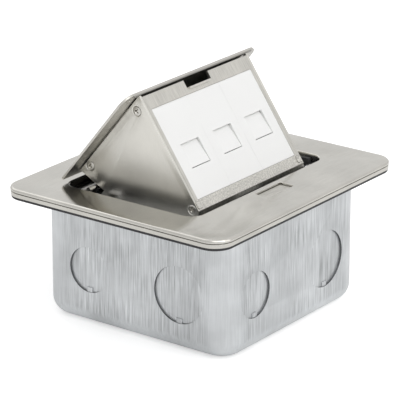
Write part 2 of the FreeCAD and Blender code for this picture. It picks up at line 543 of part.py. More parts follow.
def hinge():
    """The hinge rod in the carrier's ears, its clips, and the flanged bushes in the cassette's arms."""
    rod = Piece("hinge_rod")
    axis = ("pivot_y", "pivot_z")
    rod.prism("core", "x", axis, both("rod_half"), "clip_neck_radius")
    rod.rod("journal", "x", axis, both("clip_x"), "hinge_rod_radius")
    for side in (-1, 1):
        rod.rod("end", "x", axis, side_span(side, "clip_x + clip_sheet + clip_play * 2", "rod_half"), "hinge_rod_radius")
    clips = Piece("hinge_clips")
    bushes = Piece("hinge_bushes")
    for side in (-1, 1):
        clip_span = side_span(side, "clip_x + clip_play", "clip_x + clip_play + clip_sheet")
        clips.rod("ring", "x", axis, clip_span, "clip_radius")
        clips.rod("bore", "x", axis, side_span(side, "clip_x - 1", "clip_x + 2"), "clip_neck_radius + clip_play", cut=True)
        clips.box("mouth", side_span(side, "clip_x - 1", "clip_x + 2"),
                  ("pivot_y - clip_slot / 2", "pivot_y + clip_slot / 2"), ("pivot_z - clip_radius - 1", "pivot_z"), cut=True)
        bushes.rod("flange", "x", axis, side_span(side, "panel_half", "panel_half + bush_flange"), "bush_flange_radius")
        bushes.rod("sleeve", "x", axis, side_span(side, "panel_inner", "panel_half + 0.1"),
                   "hinge_rod_radius + hinge_running_gap + bush_wall")
        bushes.rod("bore", "x", axis, side_span(side, "panel_inner - 1", "panel_half + bush_flange + 1"),
                   "hinge_rod_radius + hinge_running_gap", cut=True)


def wire_solid(path, wire):
    """A faceted solid of square wire along a list of points."""
    rings = []
    for i, point in enumerate(path):
        ahead = (path[min(i + 1, len(path) - 1)] - path[max(i - 1, 0)]).normalize()
        side = V(0, 0, 1) - ahead * ahead.z
        side.normalize()
        across = ahead.cross(side)
        rings.append([point + side * (a * wire / 2) + across * (b * wire / 2)
                      for a, b in ((-1, -1), (1, -1), (1, 1), (-1, 1))])
    faces = [quad for ring, flip in ((rings[0], True), (rings[-1], False)) for quad in (triangles(ring, flip))]
    for first, second in zip(rings, rings[1:]):
        for i in range(4):
            j = (i + 1) % 4
            faces += triangles([first[i], first[j], second[j], second[i]], False)
    return Part.Solid(Part.Shell(faces))


def triangles(corners, flip):
    a, b, c, d = corners[::-1] if flip else corners
    return [Part.Face(Part.makePolygon([a, b, c, a])), Part.Face(Part.makePolygon([a, c, d, a]))]


def coil_points(radius, pitch, turns, steps):
    """Points of a helix about Z, starting on the X axis."""
    count = int(round(turns * steps))
    return [V(radius * math.cos(2 * math.pi * turns * i / count), radius * math.sin(2 * math.pi * turns * i / count),
              pitch * turns * i / count) for i in range(count + 1)]


def add_solid(label, shape):
    node = DOC.addObject("Part::Feature", label)
    node.Shape = shape
    node.Label = label
    BODIES[label] = node


def lift_springs():
    """Torsion springs on the rod: one leg under the carrier's seat, the other under the panel's tab."""
    radius, pitch, wire = size("spring_coil_radius"), size("spring_pitch"), size("spring_wire")
    turned = math.radians(size("open_angle"))
    tab = V(0, value("spring_tab_y + spring_tab_width / 2 - pivot_y"), value("pivot_depth - spring_tab_depth"))
    corner = V(0, tab.y * math.cos(turned) + tab.z * math.sin(turned),
               -tab.y * math.sin(turned) + tab.z * math.cos(turned))
    inset = radius - wire / 2 - 0.06
    heading = math.atan2(corner.z, corner.y) - math.asin(inset / corner.Length)
    turns = size("spring_turns") + (math.pi * 3 / 2 - heading) / (2 * math.pi) % 1
    coil = coil_points(radius, pitch, turns, 14)
    end_turn = 2 * math.pi * turns
    out_way = V(-math.sin(end_turn), math.cos(end_turn), 0)
    leg = math.sqrt(corner.Length ** 2 - inset ** 2) + size("spring_tab_width") / 2
    path = [V(radius, -(size("rail_under") - size("pivot_z") - 0.1), 0)] + coil + [coil[-1] + out_way * leg]
    place = FreeCAD.Placement(V(size("spring_outer_x"), size("pivot_y"), size("pivot_z")),
                              FreeCAD.Rotation(V(0, 1, 0), V(0, 0, -1), V(-1, 0, 0), "ZXY"))
    right = wire_solid(path, wire)
    right.Placement = place
    add_solid("lift_spring_right", right)
    add_solid("lift_spring_left", right.mirror(V(0, 0, 0), V(1, 0, 0)))


# ---------------------------------------------------------------- latch

def release_button():
    """The button: a flush pad on two wedge-shaped stems that end in snap hooks."""
    button = Piece("release_button")
    button.box("pad", both("button_length / 2 - button_gap"), ("-button_front + button_gap", "-button_rear - button_gap"),
               ("button_under", "button_top"))
    button.fillet("pad_corners", "0.6", upright(value("button_length / 2 - button_gap")))
    back = "-button_rear - stem_back - button_gap"
    slope_top = "button_under - 0.3"
    outline = [(back, "button_under + 0.1"), ("-button_front + button_gap + 0.2", "button_under + 0.1"),
               ("cam_foot_y - (button_under - 0.3 - stem_foot_z) * cam_ratio", slope_top),
               ("cam_foot_y", "stem_foot_z"), ("cam_foot_y", "rail_under - 0.8"),
               (back + " + stem_barb", "rail_under - 0.8"), (back + " + stem_barb", "rail_under - 0.8 + stem_barb_height"),
               (back, "rail_under - 0.8 + stem_barb_height")]
    for side in (-1, 1):
        button.profile("stem_%s" % ("left" if side < 0 else "right"), outline,
                       side_span(side, "stem_inner_x", "stem_outer_x"))


def latch_bolt():
    """The bolt under the faceplate: a bevelled nose, two sloping cam slots and a slot for its spring."""
    bolt = Piece("latch_bolt")
    bolt.box("plate", both("bolt_width / 2"), ("-bolt_tail", "bolt_nose"), ("bolt_low", "bolt_high"))
    nose = [("bolt_nose - bolt_bevel", "bolt_high"), ("bolt_nose", "bolt_high - bolt_bevel"),
            ("bolt_nose + 1", "bolt_high - bolt_bevel"), ("bolt_nose + 1", "bolt_high + 1"),
            ("bolt_nose - bolt_bevel", "bolt_high + 1")]
    bolt.profile("nose_bevel", nose, both("bolt_width / 2 + 1"), cut=True)
    cam = "cam_foot_y - cam_gap - (%s - stem_foot_z) * cam_ratio"
    rear = "-button_rear - stem_back - button_gap + cam_gap + button_stroke * cam_ratio"
    slot = [(rear, "bolt_low - 1"), (rear, "bolt_high + 1"), (cam % "(bolt_high + 1)", "bolt_high + 1"),
            (cam % "(bolt_low - 1)", "bolt_low - 1")]
    for side in (-1, 1):
        bolt.profile("cam_slot_%s" % ("left" if side < 0 else "right"), slot,
                     side_span(side, "stem_inner_x - bolt_slot_gap", "stem_outer_x + bolt_slot_gap"), cut=True)
    bolt.box("spring_slot", both("latch_spring_slot"), ("-bolt_tail - 1", "-bolt_tail + latch_spring_seat"),
             ("bolt_low - 1", "bolt_high + 1"), cut=True)


def latch_spring():
    """The small compression spring behind the bolt."""
    low, high = -size("pocket_rear") + 0.1, -size("bolt_tail") + size("latch_spring_seat") - 0.1
    wire, turns, radius = size("latch_spring_wire"), size("latch_spring_turns"), size("latch_spring_radius")
    spring = wire_solid(coil_points(radius, (high - low - wire) / turns, turns, 10), wire)
    spring.Placement = FreeCAD.Placement(V(0, low + wire / 2, size("rail_top") + radius + wire / 2 + 0.15),
                                         FreeCAD.Rotation(V(1, 0, 0), -90))
    add_solid("latch_spring", spring)


# ---------------------------------------------------------------- cassette shell, in the closed lid's frame

def lid():
    """The lid: a flat sheet with a narrow lip folded down at its front edge and weld studs below."""
    pan = Piece("lid", "open")
    pan.box("sheet", both("lid_half"), ("lid_front", "lid_rear"), ("-lid_sheet", "0"))
    pan.fillet("front_corners", "lid_front_corner", upright(size("lid_half"), size("lid_front"), False))
    pan.fillet("rear_corners", "lid_rear_corner", upright(size("lid_half"), size("lid_rear"), False))
    pan.fillet("edge_round", "lid_edge_round", level(0))
    pan.box("lip", both("lid_half - lid_front_corner"), ("lid_front", "lid_front + lid_sheet"),
            ("-lid_lip", "-lid_sheet / 2"))
    for side in (-1, 1):
        for row in ("-stud_front", "stud_rear"):
            pan.prism("stud", "z", (signed(side, "stud_x"), row), ("-lid_sheet - stud_length", "-lid_sheet / 2"),
                      "stud_radius")


def lid_nuts():
    places = [(signed(side, "stud_x"), row) for side in (-1, 1) for row in ("-stud_front", "stud_rear")]
    hexagon("lid_nuts", "open", places, ("z", "-lid_sheet - panel_sheet - lid_nut_height"), "lid_nut_flats",
            "lid_nut_height", "stud_radius + thread_gap")


def side_panel(name, side):
    """A cheek of the cassette with its hinge arm, a flange under the lid and a tab for the lifting spring."""
    panel = Piece(name, "open")
    sheet = side_span(side, "panel_inner", "panel_half")
    under_lid, lip, top = "-lid_sheet", "-lid_lip - 0.05", "-lid_sheet - panel_top_gap"
    slope = "sin(face_tilt * 1deg) / cos(face_tilt * 1deg)"
    outline = [("lid_front + lid_sheet + 0.05", top), ("lid_front + lid_sheet + 0.05", lip),
               ("face_top_y - (face_top_depth - lid_lip - 0.05) * %s" % slope, lip),
               ("face_top_y + face_height * sin(face_tilt * 1deg)",
                "-face_top_depth - face_height * cos(face_tilt * 1deg)"),
               ("face_top_y + face_height * sin(face_tilt * 1deg) + skirt_length * 0.77",
                "-face_top_depth - face_height * cos(face_tilt * 1deg) - skirt_length * 0.6"),
               ("panel_toe_y", "-panel_toe_depth"), ("panel_heel_y", "-panel_heel_depth"),
               ("panel_waist_y - (arm_root_depth - panel_waist_depth) * 0.22", "-arm_root_depth"),
               ("pivot_y - 1.2", "-pivot_depth - eye_radius * 0.96"), ("pivot_y", "-pivot_depth"),
               ("pivot_y - eye_radius * 0.9", "-pivot_depth - arm_drop"),
               ("panel_waist_y", "-panel_waist_depth"), ("panel_rear_y", top)]
    panel.profile("cheek", outline, sheet)
    panel.rod("eye", "x", ("pivot_y", "-pivot_depth"), sheet, "eye_radius")
    panel.fillet("corners", "panel_corner", lambda edge: near(edge.BoundBox.YLength, 0)
                 and near(edge.BoundBox.ZLength, 0) and (near(edge.BoundBox.YMin, size("panel_toe_y"))
                                                         or near(edge.BoundBox.YMin, size("panel_heel_y"))))
    panel.box("lid_flange", side_span(side, "panel_half - panel_flange", "panel_inner + 0.2"),
              ("-panel_flange_front", "panel_flange_rear"), ("-lid_sheet - panel_sheet", under_lid))
    panel.box("spring_tab", side_span(side, "spring_tab_inner", "panel_half - 0.1"),
              ("spring_tab_y - spring_tab_width / 2", "spring_tab_y + spring_tab_width / 2"),
              ("-spring_tab_depth", "-spring_tab_depth + panel_sheet"))
    panel.rod("eye_bore", "x", ("pivot_y", "-pivot_depth"), side_span(side, "panel_inner - 1", "panel_half + 1"),
              "hinge_rod_radius + hinge_running_gap + bush_wall + 0.02", cut=True)
    for row in ("-stud_front", "stud_rear"):
        panel.prism("stud_hole", "z", (signed(side, "stud_x"), row), ("-lid_sheet - panel_sheet - 1", "-lid_sheet + 1"),
                    "stud_radius + hole_gap", cut=True)
    for y, z in SIDE_SCREWS:
        panel.prism("screw_hole", "x", (y, z), side_span(side, "panel_inner - 1", "panel_half - 0.3"),
                    "side_screw_radius + hole_gap", cut=True)
        countersink(panel, side, (y, z), "0.05", cut=True)


SIDE_SCREWS = (("top_screw_y", "-top_screw_depth"), ("low_screw_y", "-low_screw_depth"),
               ("rear_screw_y", "-rear_screw_depth"))


def countersink(piece, side, centre, spare, cut=False):
    """The cone of a countersunk head whose top is flush with the panel's outer face."""
    span = side_span(side, "panel_half - side_screw_sink", "panel_half")
    radii = ["side_screw_radius + %s" % spare, "side_screw_head + %s" % spare]
    piece.cone("countersink", "x", centre, span, radii if side > 0 else radii[::-1], cut=cut)


def side_screws(name, side):
    screws = Piece(name, "open")
    for y, z in SIDE_SCREWS:
        countersink(screws, side, (y, z), "0")
        screws.prism("shank", "x", (y, z),
                     side_span(side, "panel_half - side_screw_reach", "panel_half - side_screw_sink + 0.1"),
                     "side_screw_radius")


def tie_bar():
    """The round bar that ties the two side panels together under the lid's rear edge."""
    bar = Piece("tie_bar", "open")
    centre = ("rear_screw_y", "-rear_screw_depth")
    bar.rod("bar", "x", centre, both("panel_inner - tie_end_gap"), "tie_radius")
    for side in (-1, 1):
        bar.rod("thread", "x", centre, side_span(side, "panel_half - side_screw_reach - 0.5", "panel_half"),
                "side_screw_radius + thread_gap", cut=True)


# ---------------------------------------------------------------- cassette front, in the face's frame

def front_frame():
    """The folded front frame: strips above and below the modules, a recessed back, flanges and a skirt."""
    frame = Piece("front_frame", "face")
    turn_s, turn_c = "sin((open_angle - face_tilt) * 1deg)", "cos((open_angle - face_tilt) * 1deg)"
    back = "recess_depth + face_sheet"
    outline = [("0", "0"), ("0", "-recess_top"), ("recess_depth", "-recess_top"), ("recess_depth", "-recess_bottom"),
               ("0", "-recess_bottom"), ("0", "-face_height"),
               ("skirt_length * %s" % turn_s, "-face_height - skirt_length * %s" % turn_c),
               ("skirt_length * %s + face_sheet * %s" % (turn_s, turn_c),
                "-face_height - skirt_length * %s + face_sheet * %s" % (turn_c, turn_s)),
               ("face_sheet", "-face_height + face_sheet * (1 - %s) * %s / %s" % (turn_c, "1", turn_s)),
               ("face_sheet", "-recess_bottom - face_sheet"), (back, "-recess_bottom - face_sheet"),
               (back, "-recess_top + face_sheet"), ("face_sheet", "-recess_top + face_sheet"), ("face_sheet", "0")]
    frame.profile("section", outline, both("face_half"))
    flange = [("recess_depth", "-face_sheet * 1.5"), ("recess_depth + 4", "-2.6"), ("frame_flange_depth", "-recess_top - 0.6"),
              ("frame_flange_depth", "-recess_bottom + 3.2"), ("recess_depth + 4", "-low_screw_down"),
              ("recess_depth", "-low_screw_down")]
    for side in (-1, 1):
        frame.profile("flange_%s" % ("left" if side < 0 else "right"), flange,
                      side_span(side, "face_half - face_sheet", "face_half"))
        frame.box("top_cheek", side_span(side, "face_half - face_sheet", "face_half"),
                  ("face_sheet / 2", "recess_depth + 0.1"), ("-recess_top + 0.1", "-face_sheet * 1.5"))
        frame.box("side_border", side_span(side, "insert_half", "face_half"), ("0", "recess_depth + 0.1"),
                  ("-recess_bottom - 0.1", "-recess_top + 0.1"))
        frame.box("corner_block", side_span(side, "face_half - corner_block", "face_half"),
                  ("face_sheet / 2", "corner_block_depth"), ("-face_height + 0.5", "-face_height + 0.5 + corner_block_height"))
        frame.rod("top_thread", "x", ("top_screw_in", "-top_screw_down"), side_span(side, "face_half - 3", "face_half + 1"),
                  "side_screw_radius + thread_gap", cut=True)
        frame.rod("low_thread", "x", ("low_screw_in", "-low_screw_down"),
                  side_span(side, "panel_half - side_screw_reach - 0.5", "face_half + 1"),
                  "side_screw_radius + thread_gap", cut=True)
    frame.box("notch", both("notch_half"), ("-1", "face_sheet + 0.01"), ("-notch_depth", "1"), cut=True)
    frame.box("catch_lip", both("catch_half"), ("-catch_proud", "0.1"),
              ("-notch_depth - catch_height", "-notch_depth"))
    frame.box("skirt_notch", both("skirt_notch_half"), ("-1", "skirt_length + 2"),
              ("-face_height - skirt_length - 2", "-face_height - skirt_notch_start"), cut=True)
    for _, middle in PORTS:
        frame.box("module_window", port_span(middle, "tunnel_half + tunnel_wall + window_margin"),
                  ("recess_depth - 1", back + " + 1"),
                  ("-tunnel_bottom - tunnel_wall - window_margin", "-tunnel_top + tunnel_wall + window_margin"), cut=True)


PORTS = (("left", "-port_pitch"), ("centre", "0"), ("right", "port_pitch"))


def port_span(middle, half):
    return ("%s - (%s)" % (middle, half), "%s + (%s)" % (middle, half))


def data_module(name, middle):
    """A white module: a front plate with its port, and the tunnel behind it that holds shutter and jack."""
    module = Piece("module_" + name, "face")
    low = "-insert_half + module_gap" if name == "left" else ("-module_seam_half" if name == "centre"
                                                            else "module_seam_half + module_gap")
    high = "insert_half - module_gap" if name == "right" else ("module_seam_half" if name == "centre"
                                                             else "-module_seam_half - module_gap")
    module.box("front", (low, high), ("module_sink", "recess_depth"),
               ("-recess_bottom + module_gap", "-recess_top - module_gap"))
    wide, tall = "tunnel_half + tunnel_wall", ("-tunnel_bottom - tunnel_wall", "-tunnel_top + tunnel_wall")
    module.box("tunnel", port_span(middle, wide), ("recess_depth - 0.1", "tunnel_depth"), tall)
    for snap in (("-tunnel_bottom - tunnel_wall - snap_height", "-tunnel_bottom"),
                 ("-tunnel_top", "-tunnel_top + tunnel_wall + snap_height")):
        module.box("snap", port_span(middle, "tunnel_half / 2"),
                   ("recess_depth + face_sheet + 0.05", "recess_depth + face_sheet + snap_length"), snap)
    module.box("cavity", port_span(middle, "tunnel_half"), ("module_sink + module_skin", "tunnel_depth + 1"),
               ("-tunnel_bottom", "-tunnel_top"), cut=True)
    module.box("port", port_span(middle, "port_width / 2"), ("-1", "module_sink + module_skin + 1"),
               ("-port_bottom", "-port_top"), cut=True)
    module.rod("trunnion_seat", "x", ("flap_axis_in", "-flap_axis_down"),
               port_span(middle, "tunnel_half + trunnion_reach + 0.25"), "trunnion_radius + trunnion_gap", cut=True)


def shutter(name, middle):
    """The hinged shutter of a port: its head lies behind the skin, its foot is flush with the face."""
    flap = Piece("shutter_" + name, "face")
    outline = [("flap_head_sink", "-port_top - 0.1"), ("flap_front_sink", "-flap_low"),
               ("flap_front_sink + flap_sheet", "-flap_low"), ("flap_head_sink + flap_sheet", "-port_top + 0.3"),
               ("flap_axis_in + flap_barrel_radius * 0.6", "-flap_axis_down"), ("flap_axis_in - flap_barrel_radius * 0.6", "-flap_axis_down")]
    flap.profile("leaf", outline, port_span(middle, "flap_half"))
    flap.rod("barrel", "x", ("flap_axis_in", "-flap_axis_down"), port_span(middle, "flap_half"), "flap_barrel_radius")
    flap.rod("trunnions", "x", ("flap_axis_in", "-flap_axis_down"), port_span(middle, "tunnel_half + trunnion_reach"),
             "trunnion_radius")


def shutter_spring(name, middle):
    """The leaf that presses a shutter shut from the roof of its tunnel."""
    leaf = Piece("shutter_spring_" + name, "face")
    outline = [("13", "-tunnel_top"), ("6", "-tunnel_top"), ("flap_head_sink + flap_sheet + 0.55", "-port_top - 3"),
               ("flap_head_sink + flap_sheet + 0.55 + leaf_sheet", "-port_top - 3"), ("6.2", "-tunnel_top - leaf_sheet"),
               ("13", "-tunnel_top - leaf_sheet")]
    leaf.profile("leaf", outline, port_span(middle, "leaf_width / 2"))


def data_jack(name, middle):
    """The jack at the end of the tunnel: a nose with the plug's port, and the body that carries the terminals."""
    jack = Piece("jack_" + name, "face")
    jack.box("nose", port_span(middle, "tunnel_half - jack_gap"), ("jack_face", "tunnel_depth + 0.1"),
             ("-tunnel_bottom + jack_gap", "-tunnel_top - jack_gap"))
    jack.box("body", port_span(middle, "jack_body_half"), ("tunnel_depth", "jack_depth"),
             ("-jack_body_bottom", "-jack_body_top"))
    jack.box("port", port_span(middle, "jack_port_half"), ("jack_face - 1", "jack_port_depth"),
             ("-jack_port_bottom", "-jack_port_top"), cut=True)
    jack.box("key", port_span(middle, "jack_key_half"), ("jack_face - 1", "jack_port_depth - 6"),
             ("-jack_port_bottom - jack_key_drop", "-jack_port_bottom + 1"), cut=True)
    cap = Piece("terminal_cap_" + name, "face")
    cap.box("block", port_span(middle, "idc_cap_half"), ("jack_depth", "jack_depth + idc_cap_depth"),
            ("-idc_cap_bottom", "-idc_cap_top"))
    for row in range(4):
        for side in (-1, 1):
            start = "-idc_cap_top - 1.6 - %d * 3.2" % row
            cap.box("slot", port_span("%s + %s" % (middle, signed(side, "idc_cap_half - 1")), "1.6"),
                    ("jack_depth + 1.2", "jack_depth + idc_cap_depth + 1"), (start + " - idc_slot", start), cut=True)


def jack_contacts():
    """The eight sprung contacts in the roof of each jack's port, as one group."""
    contacts = Piece("jack_contacts", "face")
    for name, middle in PORTS:
        for index in range(8):
            where = "%s + (%d - 3.5) * contact_pitch" % (middle, index)
            roof = "-jack_port_top"
            outline = [("jack_face + 1.2", roof), ("jack_face + 1.2 + contact_thickness", roof),
                       ("jack_port_depth - 1", roof + " - contact_slope_down"),
                       ("jack_port_depth - 1.5", roof + " - contact_slope_down")]
            contacts.profile("contact_%s_%d" % (name, index), outline, port_span(where, "contact_width / 2"))


# ---------------------------------------------------------------- build and write

def build():
    fill_sheets()
    back_box()
    earth_terminal()
    frame_gasket()
    frame_plate()
    carrier_frame()
    lid_buffers()
    hinge_cover()
    corners = [(signed(side, "box_screw_x"), row) for side in (-1, 1) for row in ("-box_screw_front", "box_screw_rear")]
    pan_screws("box_screws", corners, "rail_top", "box_screw_reach", "box_screw_radius", "box_screw_head",
               "box_screw_head_height", 1)
    corners = [(signed(side, "plate_screw_x"), row) for side in (-1, 1)
               for row in ("-plate_screw_front", "plate_screw_rear")]
    pan_screws("plate_screws", corners, "rail_under", "carrier_sheet + plate_screw_depth - 0.3", "plate_screw_radius",
               "plate_screw_head", "plate_screw_head_height", -1)
    hinge()
    lift_springs()
    release_button()
    latch_bolt()
    latch_spring()
    lid()
    lid_nuts()
    for name, side in (("left", -1), ("right", 1)):
        side_panel("side_panel_" + name, side)
        side_screws("side_screws_" + name, side)
    tie_bar()
    front_frame()
    for name, middle in PORTS:
        data_module(name, middle)
        shutter(name, middle)
        shutter_spring(name, middle)
        data_jack(name, middle)
    jack_contacts()


def write():
    DOC.recompute()
    faults = [o.Name for o in DOC.Objects if "Invalid" in o.State or "Error" in o.State]
    for label, body in BODIES.items():
        if body.Shape.isNull() or not body.Shape.isValid() or not body.Shape.Solids:
            faults.append(label)
    if faults:
        raise RuntimeError("failed: " + ", ".join(faults))
    os.makedirs("parts", exist_ok=True)
    for label, body in BODIES.items():
        body.Shape.exportStep("parts/%s.step" % label)
        print("%-24s %2d solids %10.1f mm3" % (label, len(body.Shape.Solids), body.Shape.Volume))


build()
write()
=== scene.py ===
"""Looks of the pop-up floor socket box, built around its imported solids.

The part's frame is kept throughout: metres, +X along the hinge, +Y from the sockets towards the hinge, +Z up.
Sizes in the classes below are in millimetres, and those of node trees and of the studio in metres.
"""
import logging
import math
from collections.abc import Callable
from dataclasses import dataclass
from enum import Enum
from functools import cache

import bmesh
import bpy
from mathutils import Matrix, Vector


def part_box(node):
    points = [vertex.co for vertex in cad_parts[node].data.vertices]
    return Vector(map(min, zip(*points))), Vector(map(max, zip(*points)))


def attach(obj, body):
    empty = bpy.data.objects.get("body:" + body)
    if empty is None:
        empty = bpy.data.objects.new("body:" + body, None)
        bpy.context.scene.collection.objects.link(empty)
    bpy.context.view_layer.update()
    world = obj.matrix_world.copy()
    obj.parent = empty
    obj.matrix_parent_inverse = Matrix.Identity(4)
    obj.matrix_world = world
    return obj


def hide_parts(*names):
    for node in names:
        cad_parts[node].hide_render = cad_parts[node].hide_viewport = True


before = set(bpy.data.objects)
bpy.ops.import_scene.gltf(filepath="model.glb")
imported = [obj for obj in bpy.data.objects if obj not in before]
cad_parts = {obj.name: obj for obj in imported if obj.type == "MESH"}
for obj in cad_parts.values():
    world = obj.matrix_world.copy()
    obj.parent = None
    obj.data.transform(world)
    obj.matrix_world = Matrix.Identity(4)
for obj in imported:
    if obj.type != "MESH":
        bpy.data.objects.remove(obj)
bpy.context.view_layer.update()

LOG = logging.getLogger("floor_box")
MM = 0.001
FULL = (0.0, 1.0)
NOISE = (0.3, 0.7)  # the span that a noise value mostly keeps to
CRISP = 38.0  # the angle, in degrees, from which an edge of a repeated piece stays crisp
BEVELLED = 40.0  # the angle, in degrees, from which an edge gets its bevel
Span = tuple[float, float]
Point = tuple[float, float, float]
Colour = tuple[float, float, float, float]
Tree = bpy.types.NodeTree
Node = bpy.types.Node
Socket = bpy.types.NodeSocket
Material = bpy.types.Material
Mesh = bpy.types.Mesh
Object = bpy.types.Object


class Brushing(Enum):
    """How far a metal's fine lines are drawn out along each axis of its pattern."""

    ALONG_HINGE = (0.03, 1.0, 1.0)
    DOWN_THE_WALL = (1.0, 1.0, 0.03)
    NONE = (1.0, 1.0, 1.0)


class Lie(Enum):
    """How a pattern lies: its turn about X in degrees, and its shift along Y and Z in millimetres."""

    LEVEL = (0.0, 0.0, 0.0)
    ON_THE_FACE = (34.74, 55.591, -86.455)
    ON_THE_LID = (50.8, 47.534, -70.308)

    def way(self, y: float, z: float, x: float = 0.0) -> Vector:
        """Turn a direction of the tilted frame into the part's frame."""
        turn = math.radians(self.value[0])
        return Vector((x, y * math.cos(turn) + z * math.sin(turn), z * math.cos(turn) - y * math.sin(turn)))

    def place(self, y: float, z: float, x: float = 0.0) -> Vector:
        """Turn a point of the tilted frame into the part's frame, in millimetres."""
        return self.way(y - self.value[1], z - self.value[2], x)


# ---- node trees


def tinted(colour: Point, factor: float = 1.0) -> Colour:
    """An opaque colour from its linear red, green and blue, made lighter or darker."""
    return (colour[0] * factor, colour[1] * factor, colour[2] * factor, 1.0)


def metres(low: float, high: float) -> Span:
    """A span in metres, from millimetres."""
    return (low * MM, high * MM)


class Net:
    """A node tree in the making, with the steps that finishes, groups and patterns share."""

    def __init__(self, tree: Tree) -> None:
        """Hold the tree that the nodes go into."""
        self.tree = tree

    def put(self, kind: str, sockets: dict[object, object], **settings: object) -> Node:
        """Add a node.

        Args:
            kind: Blender's name of the node type.
            sockets: for each input, by name or number, a number, a colour, a vector, or sockets to link.
            settings: the node's own settings.

        Returns:
            The node.
        """
        node = self.tree.nodes.new(kind)
        for name, value in settings.items():
            setattr(node, name, value)
        for key, value in sockets.items():
            for item in value if isinstance(value, list) else [value]:
                if isinstance(item, Socket):
                    self.link(item, node.inputs[key])
                else:
                    node.inputs[key].default_value = item
        return node

    def first(self, kind: str, sockets: dict[object, object], **settings: object) -> Socket:
        """Add a node and give its first output."""
        return self.put(kind, sockets, **settings).outputs[0]

    def link(self, start: Socket, end: Socket) -> None:
        """Link two sockets."""
        self.tree.links.new(start, end)

    def sums(self, operation: str, first: object, second: object = 0.0) -> Socket:
        """Work out one sum of two sockets or numbers."""
        return self.first("ShaderNodeMath", {0: first, 1: second}, operation=operation)

    def add(self, first: object, second: object) -> Socket:
        """Add two sockets or numbers."""
        return self.sums("ADD", first, second)

    def minus(self, first: object, second: object) -> Socket:
        """Take the second of two sockets or numbers from the first."""
        return self.sums("SUBTRACT", first, second)

    def times(self, first: object, second: object) -> Socket:
        """Multiply two sockets or numbers."""
        return self.sums("MULTIPLY", first, second)

    def remap(self, value: Socket, span: Span, result: Span) -> Socket:
        """Map a value from one span to another, held at both ends."""
        return self.first("ShaderNodeMapRange", {
            "Value": value, "From Min": span[0], "From Max": span[1], "To Min": result[0], "To Max": result[1]})

    def noise(self, vector: Socket, scale: object, detail: float, rough: float = 0.5) -> Socket:
        """A noise value at a place."""
        return self.first("ShaderNodeTexNoise", {
            "Vector": vector, "Scale": scale, "Detail": detail, "Roughness": rough})

    def split(self, vector: Socket) -> list[Socket]:
        """The three parts of a vector."""
        return list(self.put("ShaderNodeSeparateXYZ", {0: vector}).outputs)

    def blend(self, factor: Socket, low: Colour, high: Colour) -> Socket:
        """Blend two colours by a value."""
        return self.put("ShaderNodeMix", {0: factor, 6: low, 7: high}, data_type="RGBA").outputs[2]


class Group(Net):
    """A shader node group with named inputs and outputs.

    Attributes:
        start: the sockets that bring the group's inputs.
        end: the sockets that take its outputs.
    """

    def __init__(self, name: str, inputs: dict[str, object], outputs: tuple[str, ...]) -> None:
        """Start a group.

        Args:
            name: the group's name.
            inputs: default of each input; a float makes a value and a tuple a vector.
            outputs: names of the output values.
        """
        super().__init__(bpy.data.node_groups.new(name, "ShaderNodeTree"))
        for label, default in inputs.items():
            kind = "NodeSocketFloat" if isinstance(default, float) else "NodeSocketVector"
            self.tree.interface.new_socket(label, in_out="INPUT", socket_type=kind).default_value = default
        for label in outputs:
            self.tree.interface.new_socket(label, in_out="OUTPUT", socket_type="NodeSocketFloat")
        self.start = self.tree.nodes.new("NodeGroupInput").outputs
        self.end = self.tree.nodes.new("NodeGroupOutput").inputs


class Shader(Net):
    """The nodes of a new material.

    Attributes:
        material: the material.
        ends: the inputs of its Principled shader.
        place: the place in its pattern, in metres.
    """

    def __init__(self, name: str, lie: Lie) -> None:
        """Start a material.

        Args:
            name: the material's name.
            lie: how its pattern lies.
        """
        self.material = bpy.data.materials.new(name)
        self.material.use_nodes = True
        super().__init__(self.material.node_tree)
        self.ends = self.tree.nodes["Principled BSDF"].inputs
        self.place = self.put("ShaderNodeTexCoord", {}).outputs["Object"]
        if lie is not Lie.LEVEL:
            angle, shift_y, shift_z = lie.value
            self.place = self.first("ShaderNodeMapping", {
                "Vector": self.place, "Location": (0.0, shift_y * MM, shift_z * MM),
                "Rotation": (math.radians(angle), 0.0, 0.0)})

    def relief(self, height: Socket, strength: float, depth: float) -> None:
        """Raise fine relief from a height, over a depth in millimetres."""
        bump = self.first("ShaderNodeBump", {"Strength": strength, "Distance": depth * MM, "Height": height})
        self.link(bump, self.ends["Normal"])


@cache
def grain() -> Tree:
    """Fine lines drawn out along one axis, with soft clouds over them.

    Returns:
        The node group, made the first time that it is asked for.
    """
    net = Group("metal_grain", {"Vector": (0.0, 0.0, 0.0), "Stretch": (1.0, 1.0, 1.0), "Lines": 4000.0,
                                "Clouds": 40.0}, ("Lines", "Clouds"))
    drawn = net.first("ShaderNodeVectorMath", {0: net.start["Vector"], 1: net.start["Stretch"]},
                      operation="MULTIPLY")
    net.link(net.noise(drawn, net.start["Lines"], 3.0, 0.6), net.end["Lines"])
    net.link(net.noise(net.start["Vector"], net.start["Clouds"], 3.0), net.end["Clouds"])
    return net.tree


@cache
def specks() -> Tree:
    """Small specks of dust and handling marks.

    Returns:
        The node group, made the first time that it is asked for.
    """
    net = Group("specks", {"Vector": (0.0, 0.0, 0.0), "Scale": 900.0, "Amount": 0.5}, ("Mask",))
    fine = net.noise(net.start["Vector"], net.start["Scale"], 2.0, 0.7)
    peaks = (0.62, 0.74)
    net.link(net.times(net.remap(fine, peaks, FULL), net.start["Amount"]), net.end["Mask"])
    return net.tree


# ---- finishes


